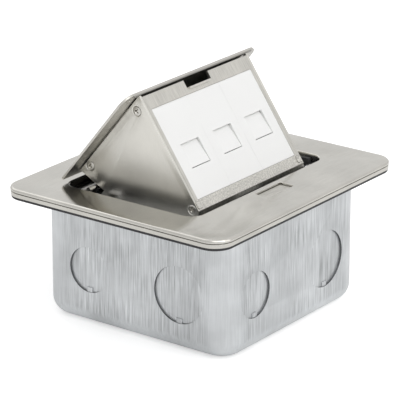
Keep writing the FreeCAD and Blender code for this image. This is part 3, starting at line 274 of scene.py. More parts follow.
@dataclass(frozen=True)
class Finish:
    """What every finish holds.

    Attributes:
        name: the finish's name.
        colour: its linear red, green and blue.
        rough: its roughness.
        lie: how its pattern lies.
    """

    name: str
    colour: Point
    rough: float
    lie: Lie = Lie.LEVEL

    def make(self) -> Material:
        """Build the material.

        Returns:
            The material, with the finish's pattern laid over its plain colour and roughness.
        """
        net = Shader(self.name, self.lie)
        net.ends["Base Color"].default_value = tinted(self.colour)
        net.ends["Roughness"].default_value = self.rough
        self.lay(net)
        return net.material

    def lay(self, net: Shader) -> None:
        """Lay the pattern, which each kind of finish does its own way."""
        raise NotImplementedError(self.name)

    def dust(self, net: Shader, amount: float, colour: Colour) -> None:
        """Lay specks of another colour over the finish's own."""
        mask = net.first("ShaderNodeGroup", {"Vector": net.place, "Amount": amount}, node_tree=specks())
        net.link(net.blend(mask, tinted(self.colour), colour), net.ends["Base Color"])


@dataclass(frozen=True)
class Metal(Finish):
    """Metal with fine lines and a faint cloudiness, each with a scale and a contrast, and the lines' relief."""

    brushing: Brushing = Brushing.NONE
    lines: float = 3000.0
    contrast: float = 0.06
    clouds: float = 45.0
    cloud_contrast: float = 0.08
    depth: float = 0.06

    def line_strength(self, net: Shader) -> object:
        """How strongly the lines show at a place."""
        return 1.0

    def lightness(self, net: Shader) -> object:
        """What is added to the shade at a place."""
        return 0.0

    def lay(self, net: Shader) -> None:
        """Lay the lines and clouds over the metal's shade, roughness and relief.

        Args:
            net: the material's nodes.
        """
        net.ends["Metallic"].default_value = 1.0
        grained = net.put("ShaderNodeGroup", {
            "Vector": net.place, "Stretch": self.brushing.value, "Lines": self.lines, "Clouds": self.clouds},
            node_tree=grain()).outputs
        fine = net.times(net.remap(grained["Lines"], NOISE, (-self.contrast, self.contrast)),
                         self.line_strength(net))
        broad = net.remap(grained["Clouds"], NOISE, (-self.cloud_contrast, self.cloud_contrast))
        tone = net.remap(net.add(net.add(fine, broad), self.lightness(net)), (-0.5, 0.5), FULL)
        net.link(net.blend(tone, tinted(self.colour, 0.5), tinted(self.colour, 1.5)), net.ends["Base Color"])
        net.link(net.add(net.times(fine, -0.5), self.rough), net.ends["Roughness"])
        net.relief(grained["Lines"], self.depth, 0.05)


@dataclass(frozen=True)
class DrawnSteel(Metal):
    """Sheet drawn into a box: streaked in patches on its flat walls, calm at its corners and foot, and lighter there
    by a painted highlight.

    A corner begins between two shares of half the box's length and width, and the foot between two heights.
    """

    half: Span = (49.0, 49.5)
    corner: Span = (0.72, 0.82)
    foot: Span = (7.5, 5.5)
    patches: float = 38.0
    patch_strength: Span = (0.45, 1.25)
    calmed: float = 0.75
    # painted highlight: how much lighter the corners and the foot are made
    bright: float = 0.1

    def calm_and_highlit(self, net: Shader) -> Socket:
        """A mask of the drawn corners and the foot.

        Args:
            net: the material's nodes.

        Returns:
            A value that is 1 at the corners and the foot.
        """
        x, y, z = net.split(net.place)
        along = net.sums("DIVIDE", net.sums("ABSOLUTE", x), self.half[0] * MM)
        across = net.sums("DIVIDE", net.sums("ABSOLUTE", y), self.half[1] * MM)
        corner = net.remap(net.sums("MINIMUM", along, across), self.corner, FULL)
        return net.sums("MAXIMUM", corner, net.remap(z, metres(*self.foot), FULL))

    def line_strength(self, net: Shader) -> Socket:
        """How strongly the streaks show at a place: in patches, and hardly at the corners."""
        patches = net.remap(net.noise(net.place, self.patches, 2.0), (0.38, 0.62), self.patch_strength)
        return net.times(patches, net.minus(1.0, net.times(self.calm_and_highlit(net), self.calmed)))

    def lightness(self, net: Shader) -> Socket:
        """The painted highlight at the drawn corners and the foot."""
        return net.times(self.calm_and_highlit(net), self.bright)


@dataclass(frozen=True)
class FaceMetal(Metal):
    """The front frame's metal: finely brushed above, grainier at its low strip and skirt, and darker at the skirt by
    painted shade.

    The low strip and the skirt's painted shade each begin between two heights, and the speckle has a darkest and a
    lightest speck.
    """

    strip: Span = (-48.0, -48.2)
    skirt_shade: Span = (-52.3, -52.7)
    speckle: Span = (-0.24, 0.2)

    def line_strength(self, net: Shader) -> Socket:
        """How strongly the lines show at a place."""
        return net.remap(net.split(net.place)[2], metres(*self.strip), (0.8, 0.2))

    def lightness(self, net: Shader) -> Socket:
        """What is added to the shade at a place.

        Args:
            net: the material's nodes.

        Returns:
            Specks on the low strip, and painted shade on the skirt.
        """
        height = net.split(net.place)[2]
        speckle = net.remap(net.noise(net.place, 1400.0, 2.0, 0.6), (0.35, 0.65), self.speckle)
        low = net.remap(height, metres(*self.strip), FULL)
        # painted shade darkens the skirt
        return net.add(net.times(speckle, low), net.remap(height, metres(*self.skirt_shade), (0.0, -0.1)))


@dataclass(frozen=True)
class LidMetal(Metal):
    """The lid's metal: brushed on top, with painted shade below and a darker painted shade where its front lip folds
    under.

    The underside's painted shade, the lip and the fold's painted shade each begin between two places.
    """

    underside: Span = (-1.05, -1.15)
    front: Span = (-29.2, -29.3)
    fold_shade: Span = (-0.95, -1.7)

    def lightness(self, net: Shader) -> Socket:
        """What is added to the shade at a place.

        Args:
            net: the material's nodes.

        Returns:
            Painted shade on the underside and darker painted shade on the inner lip.
        """
        _, y, z = net.split(net.place)
        # painted shade on the underside
        below = net.remap(z, metres(*self.underside), (0.0, -0.07))
        front = net.remap(y, metres(*self.front), FULL)
        # painted shade in the fold of the front lip
        return net.add(below, net.times(front, net.remap(z, metres(*self.fold_shade), (0.0, -0.42))))


@dataclass(frozen=True)
class PanelMetal(Metal):
    """The cheeks' metal, darker between two heights towards the foot by painted shade, where it slides past the
    opening.
    """

    foot_shade: Span = (60.0, 84.0)

    def lightness(self, net: Shader) -> Socket:
        """The painted shade towards the foot."""
        # painted shade: darker towards the foot
        return net.remap(net.split(net.place)[2], metres(*self.foot_shade), (-0.2, 0.0))


@dataclass(frozen=True)
class PadMetal(Metal):
    """The button's metal, with a faint curved rub mark round a centre, where a thumb pushes."""

    mark: Span = (-3.4, -46.0)
    radius: float = 8.6
    width: float = 0.35

    def lightness(self, net: Shader) -> Socket:
        """What is added to the shade at a place.

        Args:
            net: the material's nodes.

        Returns:
            A dark line along the mark.
        """
        run, rise = (net.minus(part, mark * MM) for part, mark in zip(net.split(net.place), self.mark))
        reach = net.sums("SQRT", net.add(net.times(run, run), net.times(rise, rise)))
        off = net.sums("ABSOLUTE", net.minus(reach, self.radius * MM))
        return net.remap(off, metres(0.0, self.width), (-0.12, 0.0))


@dataclass(frozen=True)
class Plastic(Finish):
    """Moulded plastic with a faint spark-eroded texture, which lets a share of the light in to a depth."""

    glow: float = 0.0
    glow_depth: float = 0.6
    texture: float = 0.05
    dusting: float = 0.04

    def lay(self, net: Shader) -> None:
        """Lay the texture and the dust.

        Args:
            net: the material's nodes.
        """
        net.ends["IOR"].default_value = 1.5
        net.ends["Subsurface Weight"].default_value = self.glow
        net.ends["Subsurface Scale"].default_value = self.glow_depth * MM
        net.ends["Subsurface Radius"].default_value = (1.0, 1.0, 1.0)
        fine = net.noise(net.place, 2600.0, 2.0)
        self.dust(net, self.dusting, tinted(self.colour, 0.4))
        net.link(net.remap(fine, NOISE, (self.rough - 0.05, self.rough + 0.07)), net.ends["Roughness"])
        net.relief(fine, self.texture, 0.04)


@dataclass(frozen=True)
class Rubber(Finish):
    """Matt rubber with pale dust in its pores."""

    dusting: float = 0.12
    texture: float = 0.2

    def lay(self, net: Shader) -> None:
        """Lay the pores and the dust.

        Args:
            net: the material's nodes.
        """
        fine = net.noise(net.place, 1500.0, 3.0)
        self.dust(net, self.dusting, tinted((0.3, 0.3, 0.3)))
        net.link(net.remap(fine, NOISE, (self.rough - 0.08, self.rough + 0.1)), net.ends["Roughness"])
        net.relief(fine, self.texture, 0.08)


NICKEL = (0.60, 0.585, 0.545)
WHITE = (0.84, 0.84, 0.832)
FINISHES: dict[str, Finish] = {f.name: f for f in (
    DrawnSteel("drawn_steel", (0.585, 0.6, 0.61), 0.42, brushing=Brushing.DOWN_THE_WALL, lines=1900.0,
               contrast=0.25, clouds=55.0, cloud_contrast=0.12, depth=0.08),
    # sheared edge: rough bare cut steel, made near black as painted shade on the knockouts' recessed walls
    Metal("sheared_edge", (0.16, 0.165, 0.17), 0.5, lines=2500.0, contrast=0.1),
    Metal("screw_nickel", (0.62, 0.605, 0.565), 0.3, lines=3500.0),
    Metal("faceplate_nickel", NICKEL, 0.16, brushing=Brushing.ALONG_HINGE, lines=3600.0, contrast=0.05, depth=0.03),
    Metal("groove_shade", (0.2, 0.195, 0.18), 0.5, lines=3600.0, contrast=0.05),
    LidMetal("lid_nickel", NICKEL, 0.34, Lie.ON_THE_LID, brushing=Brushing.ALONG_HINGE, contrast=0.12),
    PanelMetal("panel_nickel", (0.73, 0.715, 0.665), 0.3),
    FaceMetal("front_nickel", NICKEL, 0.42, Lie.ON_THE_FACE, brushing=Brushing.DOWN_THE_WALL, lines=4200.0,
              contrast=0.2, clouds=60.0, cloud_contrast=0.06, depth=0.12),
    PadMetal("button_nickel", NICKEL, 0.36, brushing=Brushing.ALONG_HINGE, contrast=0.12),
    Metal("plain_steel", (0.45, 0.455, 0.46), 0.45, lines=2500.0, contrast=0.1),
    Metal("bright_plate", (0.66, 0.66, 0.67), 0.26, lines=3500.0),
    Metal("spring_steel", (0.40, 0.40, 0.41), 0.32, lines=4000.0, contrast=0.08),
    Metal("brass", (0.66, 0.49, 0.22), 0.32, contrast=0.08),
    Metal("contact_gold", (0.80, 0.60, 0.24), 0.25, contrast=0.05),
    Plastic("module_white", WHITE, 0.35, glow=0.4),
    Plastic("shutter_white", WHITE, 0.38, glow=0.4),
    Plastic("jack_grey", (0.55, 0.55, 0.54), 0.45),
    Plastic("cap_dark", (0.09, 0.09, 0.10), 0.5),
    Rubber("seal_rubber", (0.028, 0.028, 0.03), 0.62),
)}


@cache
def finish(name: str) -> Material:
    """The material of a finish, made the first time that it is asked for."""
    return FINISHES[name].make()


# ---- pieces


def add_object(name: str, mesh: Mesh) -> Object:
    """Put a mesh into the scene as an object at the origin.

    Args:
        name: the object's name.
        mesh: the mesh, in metres.

    Returns:
        The object.
    """
    obj = bpy.data.objects.new(name, mesh)
    bpy.context.scene.collection.objects.link(obj)
    return obj


def shade(mesh: Mesh, degrees: float = 32.0) -> None:
    """Shade a mesh smooth, with sharp edges where it turns by more than an angle.

    Args:
        mesh: the mesh.
        degrees: the angle.
    """
    mesh.polygons.foreach_set("use_smooth", [True] * len(mesh.polygons))
    mesh.set_sharp_from_angle(angle=math.radians(degrees))
    mesh.update()


def seat(obj: Object, body: str, nodes: tuple[str, ...]) -> None:
    """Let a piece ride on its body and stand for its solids.

    Args:
        obj: the piece.
        body: the moving body that carries it.
        nodes: the solids that it stands for.
    """
    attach(obj, body)
    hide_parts(*nodes)
    LOG.info("piece %s on %s", obj.name, body)


@dataclass
class Dressed:
    """A rigid piece whose form is the solid's own, with its edges eased and a finish laid on.

    Attributes:
        node: the solid's name.
        body: the moving body that carries it.
        finish_name: the finish.
        slot: the record's material slot; not used.
        ease: width of the eased edges.
        extras: closed forms added to the solid's own, in metres.
        accent: finish of the faces that the accent's test picks.
        picks: the accent's test, which gets a face's middle in millimetres.
        reshape: moves a corner of the skin a hair, in millimetres.
    """

    node: str
    body: str
    finish_name: str
    slot: str
    ease: float
    extras: tuple[bmesh.types.BMesh, ...] = ()
    accent: str = ""
    picks: Callable[[Vector], bool] | None = None
    reshape: Callable[[Vector], Vector] | None = None

    def skin(self) -> Mesh:
        """A clean copy of the solid's mesh with the extras added.

        Returns:
            The mesh, without materials.
        """
        merge, flat = 0.002, 0.8
        work = bmesh.new()
        work.from_mesh(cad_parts[self.node].data)
        bmesh.ops.remove_doubles(work, verts=work.verts, dist=merge * MM)
        bmesh.ops.dissolve_limit(work, angle_limit=math.radians(flat), verts=work.verts, edges=work.edges,
                                 delimit={"NORMAL"})
        for vert in work.verts if self.reshape else ():
            vert.co = self.reshape(vert.co / MM) * MM
        mesh = bpy.data.meshes.new(self.node + "_skin")
        for extra in self.extras:
            extra.to_mesh(mesh)
            extra.free()
            work.from_mesh(mesh)
        work.to_mesh(mesh)
        work.free()
        return mesh

    def build(self) -> None:
        """Make the piece and let it stand for its solid."""
        mesh = self.skin()
        mesh.materials.append(finish(self.finish_name))
        marks = [0] * len(mesh.polygons)
        if self.picks:
            mesh.materials.append(finish(self.accent))
            marks = [int(self.picks(face.center / MM)) for face in mesh.polygons]
        mesh.polygons.foreach_set("material_index", marks)
        shade(mesh)
        obj = add_object(self.node + "_skin", mesh)
        if self.ease:
            bevel = obj.modifiers.new("eased_edges", "BEVEL")
            bevel.width = self.ease * MM
            bevel.segments = 2
            bevel.limit_method = "ANGLE"
            bevel.angle_limit = math.radians(BEVELLED)
            bevel.use_clamp_overlap = True
            bevel.harden_normals = True
        seat(obj, self.body, (self.node,))


def dress(body: str, *rows: tuple[str, str, str, float]) -> None:
    """Dress plain pieces of one body, each given by its solid, finish, slot and eased edge."""
    for row in rows:
        Dressed(row[0], body, *row[1:]).build()


@dataclass
class Pad:
    """A small rounded-square pad that stands proud of a surface, with a foot in it and an eased edge."""

    half: float = 1.6
    rise: float = 0.3
    corner: float = 0.7
    foot: float = 0.3
    ease: Span = (0.1, 0.12)
    steps: int = 4

    def ring(self, level: float, inset: float) -> list[Vector]:
        """Corners of the pad's outline at one level.

        Args:
            level: height over the surface.
            inset: how far the outline is drawn in.

        Returns:
            Points across, up and out of the surface.
        """
        points = []
        for quarter, (side, height) in enumerate(((1, 1), (-1, 1), (-1, -1), (1, -1))):
            for step in range(self.steps + 1):
                angle = math.tau / 4 * (quarter + step / self.steps)
                reach, round_off = self.half - self.corner, self.corner - inset
                points.append(Vector((side * reach + round_off * math.cos(angle),
                                      height * reach + round_off * math.sin(angle), level)))
        return points

    def form(self, centre: Vector, across: Vector, up: Vector) -> bmesh.types.BMesh:
        """Make the pad.

        Args:
            centre: middle of the pad on the surface, in millimetres.
            across: direction of its width.
            up: direction of its height on the surface.

        Returns:
            The closed form, in metres.
        """
        out = across.cross(up)
        drop, inset = self.ease
        work = bmesh.new()
        rings = [[work.verts.new((centre + across * p.x + up * p.y + out * p.z) * MM) for p in self.ring(*level)]
                 for level in ((-self.foot, 0.0), (self.rise - drop, 0.0), (self.rise, inset))]
        for first, second in zip(rings, rings[1:]):
            for index in range(len(first)):
                after = (index + 1) % len(first)
                work.faces.new((first[index], first[after], second[after], second[index]))
        work.faces.new(rings[-1])
        work.faces.new(rings[0][::-1])
        bmesh.ops.recalc_face_normals(work, faces=work.faces)
        return work


# ---- repeated pieces


class Pattern(Net):
    """A geometry node tree with named inputs, run on a seed mesh and turned into a plain mesh.

    Attributes:
        name: the tree's name.
        keys: identifier of each named input.
        start: the sockets that bring the tree's inputs.
    """

    def __init__(self, name: str, inputs: dict[str, float]) -> None:
        """Start a tree.

        Args:
            name: the tree's name.
            inputs: default of each input, with lengths in metres.
        """
        super().__init__(bpy.data.node_groups.new(name, "GeometryNodeTree"))
        self.name = name
        face = self.tree.interface
        face.new_socket("Geometry", in_out="INPUT", socket_type="NodeSocketGeometry")
        self.keys: dict[str, str] = {}
        for label, default in inputs.items():
            kind = "NodeSocketInt" if isinstance(default, int) else "NodeSocketFloat"
            socket = face.new_socket(label, in_out="INPUT", socket_type=kind)
            socket.default_value = default
            self.keys[label] = socket.identifier
        self.keys["Finish"] = face.new_socket("Finish", in_out="INPUT", socket_type="NodeSocketMaterial").identifier
        face.new_socket("Geometry", in_out="OUTPUT", socket_type="NodeSocketGeometry")
        self.start = self.tree.nodes.new("NodeGroupInput").outputs

    def geo(self, kind: str, sockets: dict[object, object], **settings: object) -> Socket:
        """Add a geometry node, named without its prefix, and give its first output."""
        return self.first("GeometryNode" + kind, sockets, **settings)

    def vector(self, x: object, y: object, z: object) -> Socket:
        """A vector of three sockets or numbers."""
        return self.first("ShaderNodeCombineXYZ", {0: x, 1: y, 2: z})

    def moved(self, geometry: Socket, shift: object = (0.0, 0.0, 0.0), turn: float = 0.0,
              scale: object = (1.0, 1.0, 1.0)) -> Socket:
        """Scale, turn about Z and move a geometry."""
        return self.geo("Transform", {
            "Geometry": geometry, "Translation": shift, "Rotation": (0.0, 0.0, turn), "Scale": scale})

    def facing(self, piece: Socket) -> Socket:
        """Stand a piece on every seed, along the seed's axis and with its own spin.

        Args:
            piece: the piece, which faces along Z.

        Returns:
            The instances. Their spin is drawn from the input "Spin seed".
        """
        axis = self.geo("InputNamedAttribute", {"Name": "axis"}, data_type="FLOAT_VECTOR")
        aligned = self.first("FunctionNodeAlignRotationToVector", {"Vector": axis}, axis="Z")
        spin = self.put("FunctionNodeRandomValue", {2: 0.0, 3: math.pi / 2, "Seed": self.start["Spin seed"]},
                        data_type="FLOAT").outputs[1]
        turned = self.first("FunctionNodeAxisAngleToRotation", {"Axis": (0.0, 0.0, 1.0), "Angle": spin})
        rotation = self.first("FunctionNodeRotateRotation", {"Rotation": aligned, "Rotate By": turned},
                              rotation_space="LOCAL")
        return self.geo("InstanceOnPoints", {
            "Points": self.start["Geometry"], "Instance": piece, "Rotation": rotation})

    def close(self, geometry: Socket) -> None:
        """Realise the instances, lay on the finish and end the tree.

        Args:
            geometry: what the pattern made.
        """
        real = self.geo("RealizeInstances", {"Geometry": geometry})
        dressed = self.geo("SetMaterial", {"Geometry": real, "Material": self.start["Finish"]})
        self.link(dressed, self.tree.nodes.new("NodeGroupOutput").inputs[0])

    def run(self, name: str, seed: Mesh, finish_name: str, values: dict[str, float]) -> Object:
        """Run the tree on a seed mesh.

        Args:
            name: the new object's name.
            seed: points or edges that the pattern follows.
            finish_name: the finish.
            values: the inputs that differ from their defaults, with lengths in metres.

        Returns:
            An object at the origin with the plain mesh and no modifier.
        """
        obj = add_object(name, seed)
        modifier = obj.modifiers.new(self.name, "NODES")
        modifier.node_group = self.tree
        modifier[self.keys["Finish"]] = finish(finish_name)
        for label, value in values.items():
            modifier[self.keys[label]] = value
        depsgraph = bpy.context.evaluated_depsgraph_get()
        depsgraph.update()
        mesh = bpy.data.meshes.new_from_object(obj.evaluated_get(depsgraph))
        obj.modifiers.clear()
        mesh.name = name
        obj.data = mesh
        bpy.data.meshes.remove(seed)
        if not mesh.polygons:
            raise RuntimeError(f"the pattern {self.name} made nothing for {name}")
        shade(mesh, CRISP)
        return obj


def seeds(name: str, places: list[Vector], way: Vector) -> Mesh:
    """A mesh of loose points, with the way that their pieces face.

    Args:
        name: the mesh's name.
        places: the points, in millimetres.
        way: the direction out of the points.

    Returns:
        The mesh, in metres, with a vector attribute "axis".
    """
    mesh = bpy.data.meshes.new(name + "_seeds")
    mesh.from_pydata([tuple(place * MM) for place in places], [], [])
    axis = mesh.attributes.new("axis", "FLOAT_VECTOR", "POINT")
    axis.data.foreach_set("vector", [*way] * len(places))
    return mesh


def line_mesh(name: str, lines: list[list[Vector]]) -> Mesh:
    """A mesh of open lines.

    Args:
        name: the mesh's name.
        lines: the points of each line, in millimetres.

    Returns:
        The mesh, in metres.
    """
    corners: list[tuple[float, ...]] = []
    edges: list[tuple[int, int]] = []
    for line in lines:
        first = len(corners)
        corners += [tuple(point * MM) for point in line]
        edges += [(first + index, first + index + 1) for index in range(len(line) - 1)]
    mesh = bpy.data.meshes.new(name + "_line")
    mesh.from_pydata(corners, edges, [])
    return mesh


@cache
def screw() -> Pattern:
    """A cross-recessed screw: its head stands on the seed, its shank and thread reach back from it.

    Returns:
        The pattern, made the first time that it is asked for.
    """
    net = Pattern("screw", {"Head radius": 0.003, "Seat radius": 0.003, "Head height": 0.002, "Crown": 0.0004,
                            "Shank radius": 0.0016, "Reach": 0.009, "Recess span": 0.0015, "Recess width": 0.0004,
                            "Recess depth": 0.0011, "Thread pitch": 0.0007, "Spin seed": 1})
    size = net.start
    sides, shank_sides, lap, ridge_radius = 40, 20, 0.0002, 0.00016
    head = net.geo("MeshCone", {
        "Vertices": sides, "Radius Top": size["Head radius"], "Radius Bottom": size["Seat radius"],
        "Depth": size["Head height"]})
    dome = net.moved(net.geo("MeshUVSphere", {"Segments": sides, "Rings": 14, "Radius": 1.0}),
                     net.vector(0.0, 0.0, size["Head height"]), 0.0,
                     net.vector(size["Head radius"], size["Head radius"], size["Crown"]))
    core = net.geo("MeshCylinder", {
        "Vertices": shank_sides, "Radius": size["Shank radius"], "Depth": size["Reach"]})
    core = net.moved(core, net.vector(0.0, 0.0, net.add(net.times(size["Reach"], -0.5), lap)))
    arm = net.geo("MeshCone", {"Vertices": 4, "Radius Top": math.sqrt(2), "Radius Bottom": 0.7, "Depth": 1.0})
    arm = net.moved(arm, turn=math.pi / 4)
    low = net.minus(net.add(size["Head height"], size["Crown"]), size["Recess depth"])
    arms = [net.moved(arm, net.vector(0.0, 0.0, low), 0.0, net.vector(size[x], size[y], size["Recess depth"]))
            for x, y in (("Recess span", "Recess width"), ("Recess width", "Recess span"))]
    body = net.geo("MeshBoolean", {1: [head, dome]}, operation="UNION", solver="EXACT")
    body = net.geo("MeshBoolean", {0: body, 1: arms}, operation="DIFFERENCE", solver="EXACT")
    turns = net.sums("DIVIDE", size["Reach"], size["Thread pitch"])
    spiral = net.geo("CurveSpiral", {
        "Resolution": 14, "Rotations": turns, "Start Radius": size["Shank radius"],
        "End Radius": size["Shank radius"], "Height": size["Reach"]})
    ridge = net.geo("CurvePrimitiveCircle", {"Resolution": 4, "Radius": ridge_radius})
    thread = net.geo("CurveToMesh", {"Curve": spiral, "Profile Curve": ridge, "Fill Caps": True})
    thread = net.moved(thread, net.vector(0.0, 0.0, net.times(size["Reach"], -1.0)))
    net.close(net.facing(net.geo("JoinGeometry", {0: [body, core, thread]})))
    return net


@cache
def rivet_dot() -> Pattern:
    """A low domed rivet head on each seed.

    Returns:
        The pattern, made the first time that it is asked for.
    """
    net = Pattern("rivet_dot", {"Radius": 0.0008, "Height": 0.0003, "Spin seed": 1})
    dome = net.geo("MeshUVSphere", {"Segments": 20, "Rings": 10, "Radius": 1.0})
    size = net.vector(net.start["Radius"], net.start["Radius"], net.start["Height"])
    net.close(net.facing(net.moved(dome, scale=size)))
    return net


@cache
def wire() -> Pattern:
    """A round wire along every line of the seed.

    Returns:
        The pattern, made the first time that it is asked for.
    """
    net = Pattern("wire", {"Wire radius": 0.0005, "Sides": 12})
    path = net.geo("MeshToCurve", {"Mesh": net.start["Geometry"]})
    ring = net.geo("CurvePrimitiveCircle", {"Resolution": net.start["Sides"], "Radius": net.start["Wire radius"]})
    net.close(net.geo("CurveToMesh", {"Curve": path, "Profile Curve": ring, "Fill Caps": True}))
    return net


@dataclass
class Wires:
    """A set of round wires made as one mesh, each along a line of points."""

    node: str
    body: str
    lines: list[list[Vector]]
    radius: float
    sides: int = 12
    finish_name: str = "spring_steel"
    slot: str = "spring_wire"

    def build(self) -> None:
        """Make the wires."""
        obj = wire().run(self.node + "_made", line_mesh(self.node, self.lines), self.finish_name,
                         {"Wire radius": self.radius * MM, "Sides": self.sides})
        seat(obj, self.body, (self.node,))


@dataclass
class Screws:
    """A set of cross-recessed screws that all face one way.

    The places are where the heads' undersides sit. A head has the radius of its top and of its seat, its height and
    its crown; a shank has its radius and its reach. The recess has its span and width as shares of the head's
    radius, and its depth as a share of the head's height. The seed draws the screws' spins.
    """

    node: str
    body: str
    places: list[Vector]
    way: Vector
    head: float
    seat_radius: float
    height: float
    crown: float
    shank: float
    reach: float
    seed: int
    finish_name: str = "bright_plate"
    recess: Point = (0.56, 0.15, 0.6)

    def build(self) -> None:
        """Make the set as one mesh."""
        span, width, depth = self.recess
        lengths = {"Head radius": self.head, "Seat radius": self.seat_radius, "Head height": self.height,
                   "Crown": self.crown, "Shank radius": self.shank, "Reach": self.reach,
                   "Recess span": self.head * span, "Recess width": self.head * width,
                   "Recess depth": self.height * depth + self.crown}
        values = {label: length * MM for label, length in lengths.items()}
        obj = screw().run(self.node + "_made", seeds(self.node, self.places, self.way), self.finish_name,
                          values | {"Spin seed": self.seed})
        seat(obj, self.body, (self.node,))


# ---- studio


@dataclass(frozen=True)
class Lamp:
    """A square lamp, with its place and size in metres and its power in watts."""

    name: str
    place: Point
    size: float
    power: float

    def build(self, target: Point) -> None:
        """Hang the lamp so that it faces a target.

        Args:
            target: the point that it faces, in metres.
        """
        data = bpy.data.lights.new(self.name, "AREA")
        data.size = self.size
        data.energy = self.power
        obj = bpy.data.objects.new(self.name, data)
        obj.location = self.place
        obj.rotation_mode = "QUATERNION"
        obj.rotation_quaternion = (Vector(self.place) - Vector(target)).to_track_quat("Z", "Y")
        bpy.context.scene.collection.objects.link(obj)


@dataclass
class Studio:
    """Camera, floor, surround and lamps, in metres.

    The camera is given by its place and its axes, and the surround by its strength low down and high up, the rise
    between the two, and what it gains from left to right. Floor and surround glow where they are seen, each shows
    glossy and clear pieces a share of that glow, and they light the object at a plain level.
    """

    place: Point = (-0.86866, -0.64462, 0.44205)
    right: Point = (0.5966, -0.80254, 0.0)
    up: Point = (0.27495, 0.2044, 0.93948)
    forward: Point = (0.75397, 0.5605, -0.3426)
    lens: float = 241.79
    sensor: float = 36.0
    floor_half: float = 3.0
    floor_drop: float = 0.0002
    floor_grey: float = 0.82
    floor_rough: float = 0.9
    floor_glow: float = 0.46
    floor_share: float = 0.35
    surround_share: float = 0.6
    rise: Span = (-0.2, 0.9)
    level: Span = (0.42, 0.74)
    tilt: Span = (-0.1, 0.1)
    target: Point = (0.0, 0.0, 0.05)
    lamps: tuple[Lamp, ...] = (
        Lamp("key", (-0.6, -1.0, 1.5), 1.8, 10.5), Lamp("fill", (0.1, -1.6, 1.0), 1.8, 8.0),
        Lamp("rim", (0.3, 1.3, 1.4), 1.6, 4.0))

    def camera(self) -> None:
        """Place the camera."""
        data = bpy.data.cameras.new("camera")
        data.lens = self.lens
        data.sensor_width = self.sensor
        data.clip_end = 50.0
        obj = bpy.data.objects.new("camera", data)
        bpy.context.scene.collection.objects.link(obj)
        axes = Matrix((self.right, self.up, [-v for v in self.forward])).transposed()
        obj.matrix_world = Matrix.Translation(self.place) @ axes.to_4x4()
        bpy.context.scene.camera = obj

    def seen(self, net: Net, mirrored: float) -> Socket:
        """How far a ray sees the white surround.

        Args:
            net: the nodes of the floor or the world.
            mirrored: the share that glossy and clear pieces see.

        Returns:
            1 for a ray from the camera, the share for one off a glossy or clear piece, and otherwise 0.
        """
        path = net.put("ShaderNodeLightPath", {}).outputs
        off = net.sums("MAXIMUM", path["Is Glossy Ray"], path["Is Transmission Ray"])
        return net.sums("MAXIMUM", path["Is Camera Ray"], net.times(off, mirrored))

    def floor(self) -> None:
        """Lay a plain white floor that keeps the soft shadow."""
        mesh = bpy.data.meshes.new("floor")
        half = self.floor_half
        mesh.from_pydata([(-half, -half, 0), (half, -half, 0), (half, half, 0), (-half, half, 0)], [], [(0, 1, 2, 3)])
        obj = add_object("floor", mesh)
        obj.location.z = -self.floor_drop
        material = bpy.data.materials.new("floor_white")
        material.use_nodes = True
        net = Net(material.node_tree)
        matt = net.tree.nodes["Principled BSDF"]
        matt.inputs["Base Color"].default_value = tinted((self.floor_grey,) * 3)
        matt.inputs["Roughness"].default_value = self.floor_rough
        strength = net.times(self.seen(net, self.floor_share), self.floor_glow)
        glow = net.first("ShaderNodeEmission", {"Strength": strength})
        lifted = net.first("ShaderNodeAddShader", {0: matt.outputs[0], 1: glow})
        net.link(lifted, net.tree.nodes["Material Output"].inputs["Surface"])
        mesh.materials.append(material)

    def world(self) -> None:
        """Set an even pale surround, white where it is seen."""
        world = bpy.data.worlds.new("surround")
        bpy.context.scene.world = world
        world.use_nodes = True
        net = Net(world.node_tree)
        x, _, z = net.split(net.put("ShaderNodeTexCoord", {}).outputs["Generated"])
        level = net.add(net.remap(z, self.rise, self.level), net.remap(x, (-1.0, 1.0), self.tilt))
        ends = net.tree.nodes["Background"].inputs
        seen = self.seen(net, self.surround_share)
        net.link(net.first("ShaderNodeMix", {0: seen, 2: level, 3: 1.0}), ends["Strength"])
        ends["Color"].default_value = tinted((1.0, 1.0, 1.0))

    def build(self) -> None:
        """Set up the whole studio."""
        self.camera()
        self.floor()
        self.world()
        for lamp in self.lamps:
            lamp.build(self.target)
        bpy.context.scene.view_settings.view_transform = "Standard"


# ---- sub-assemblies


def both_sides(x: float, ys: tuple[float, ...], z: float) -> list[Vector]:
    """Places left and right of the middle, at each of the given depths."""
    return [Vector((side * x, y, z)) for side in (-1, 1) for y in ys]


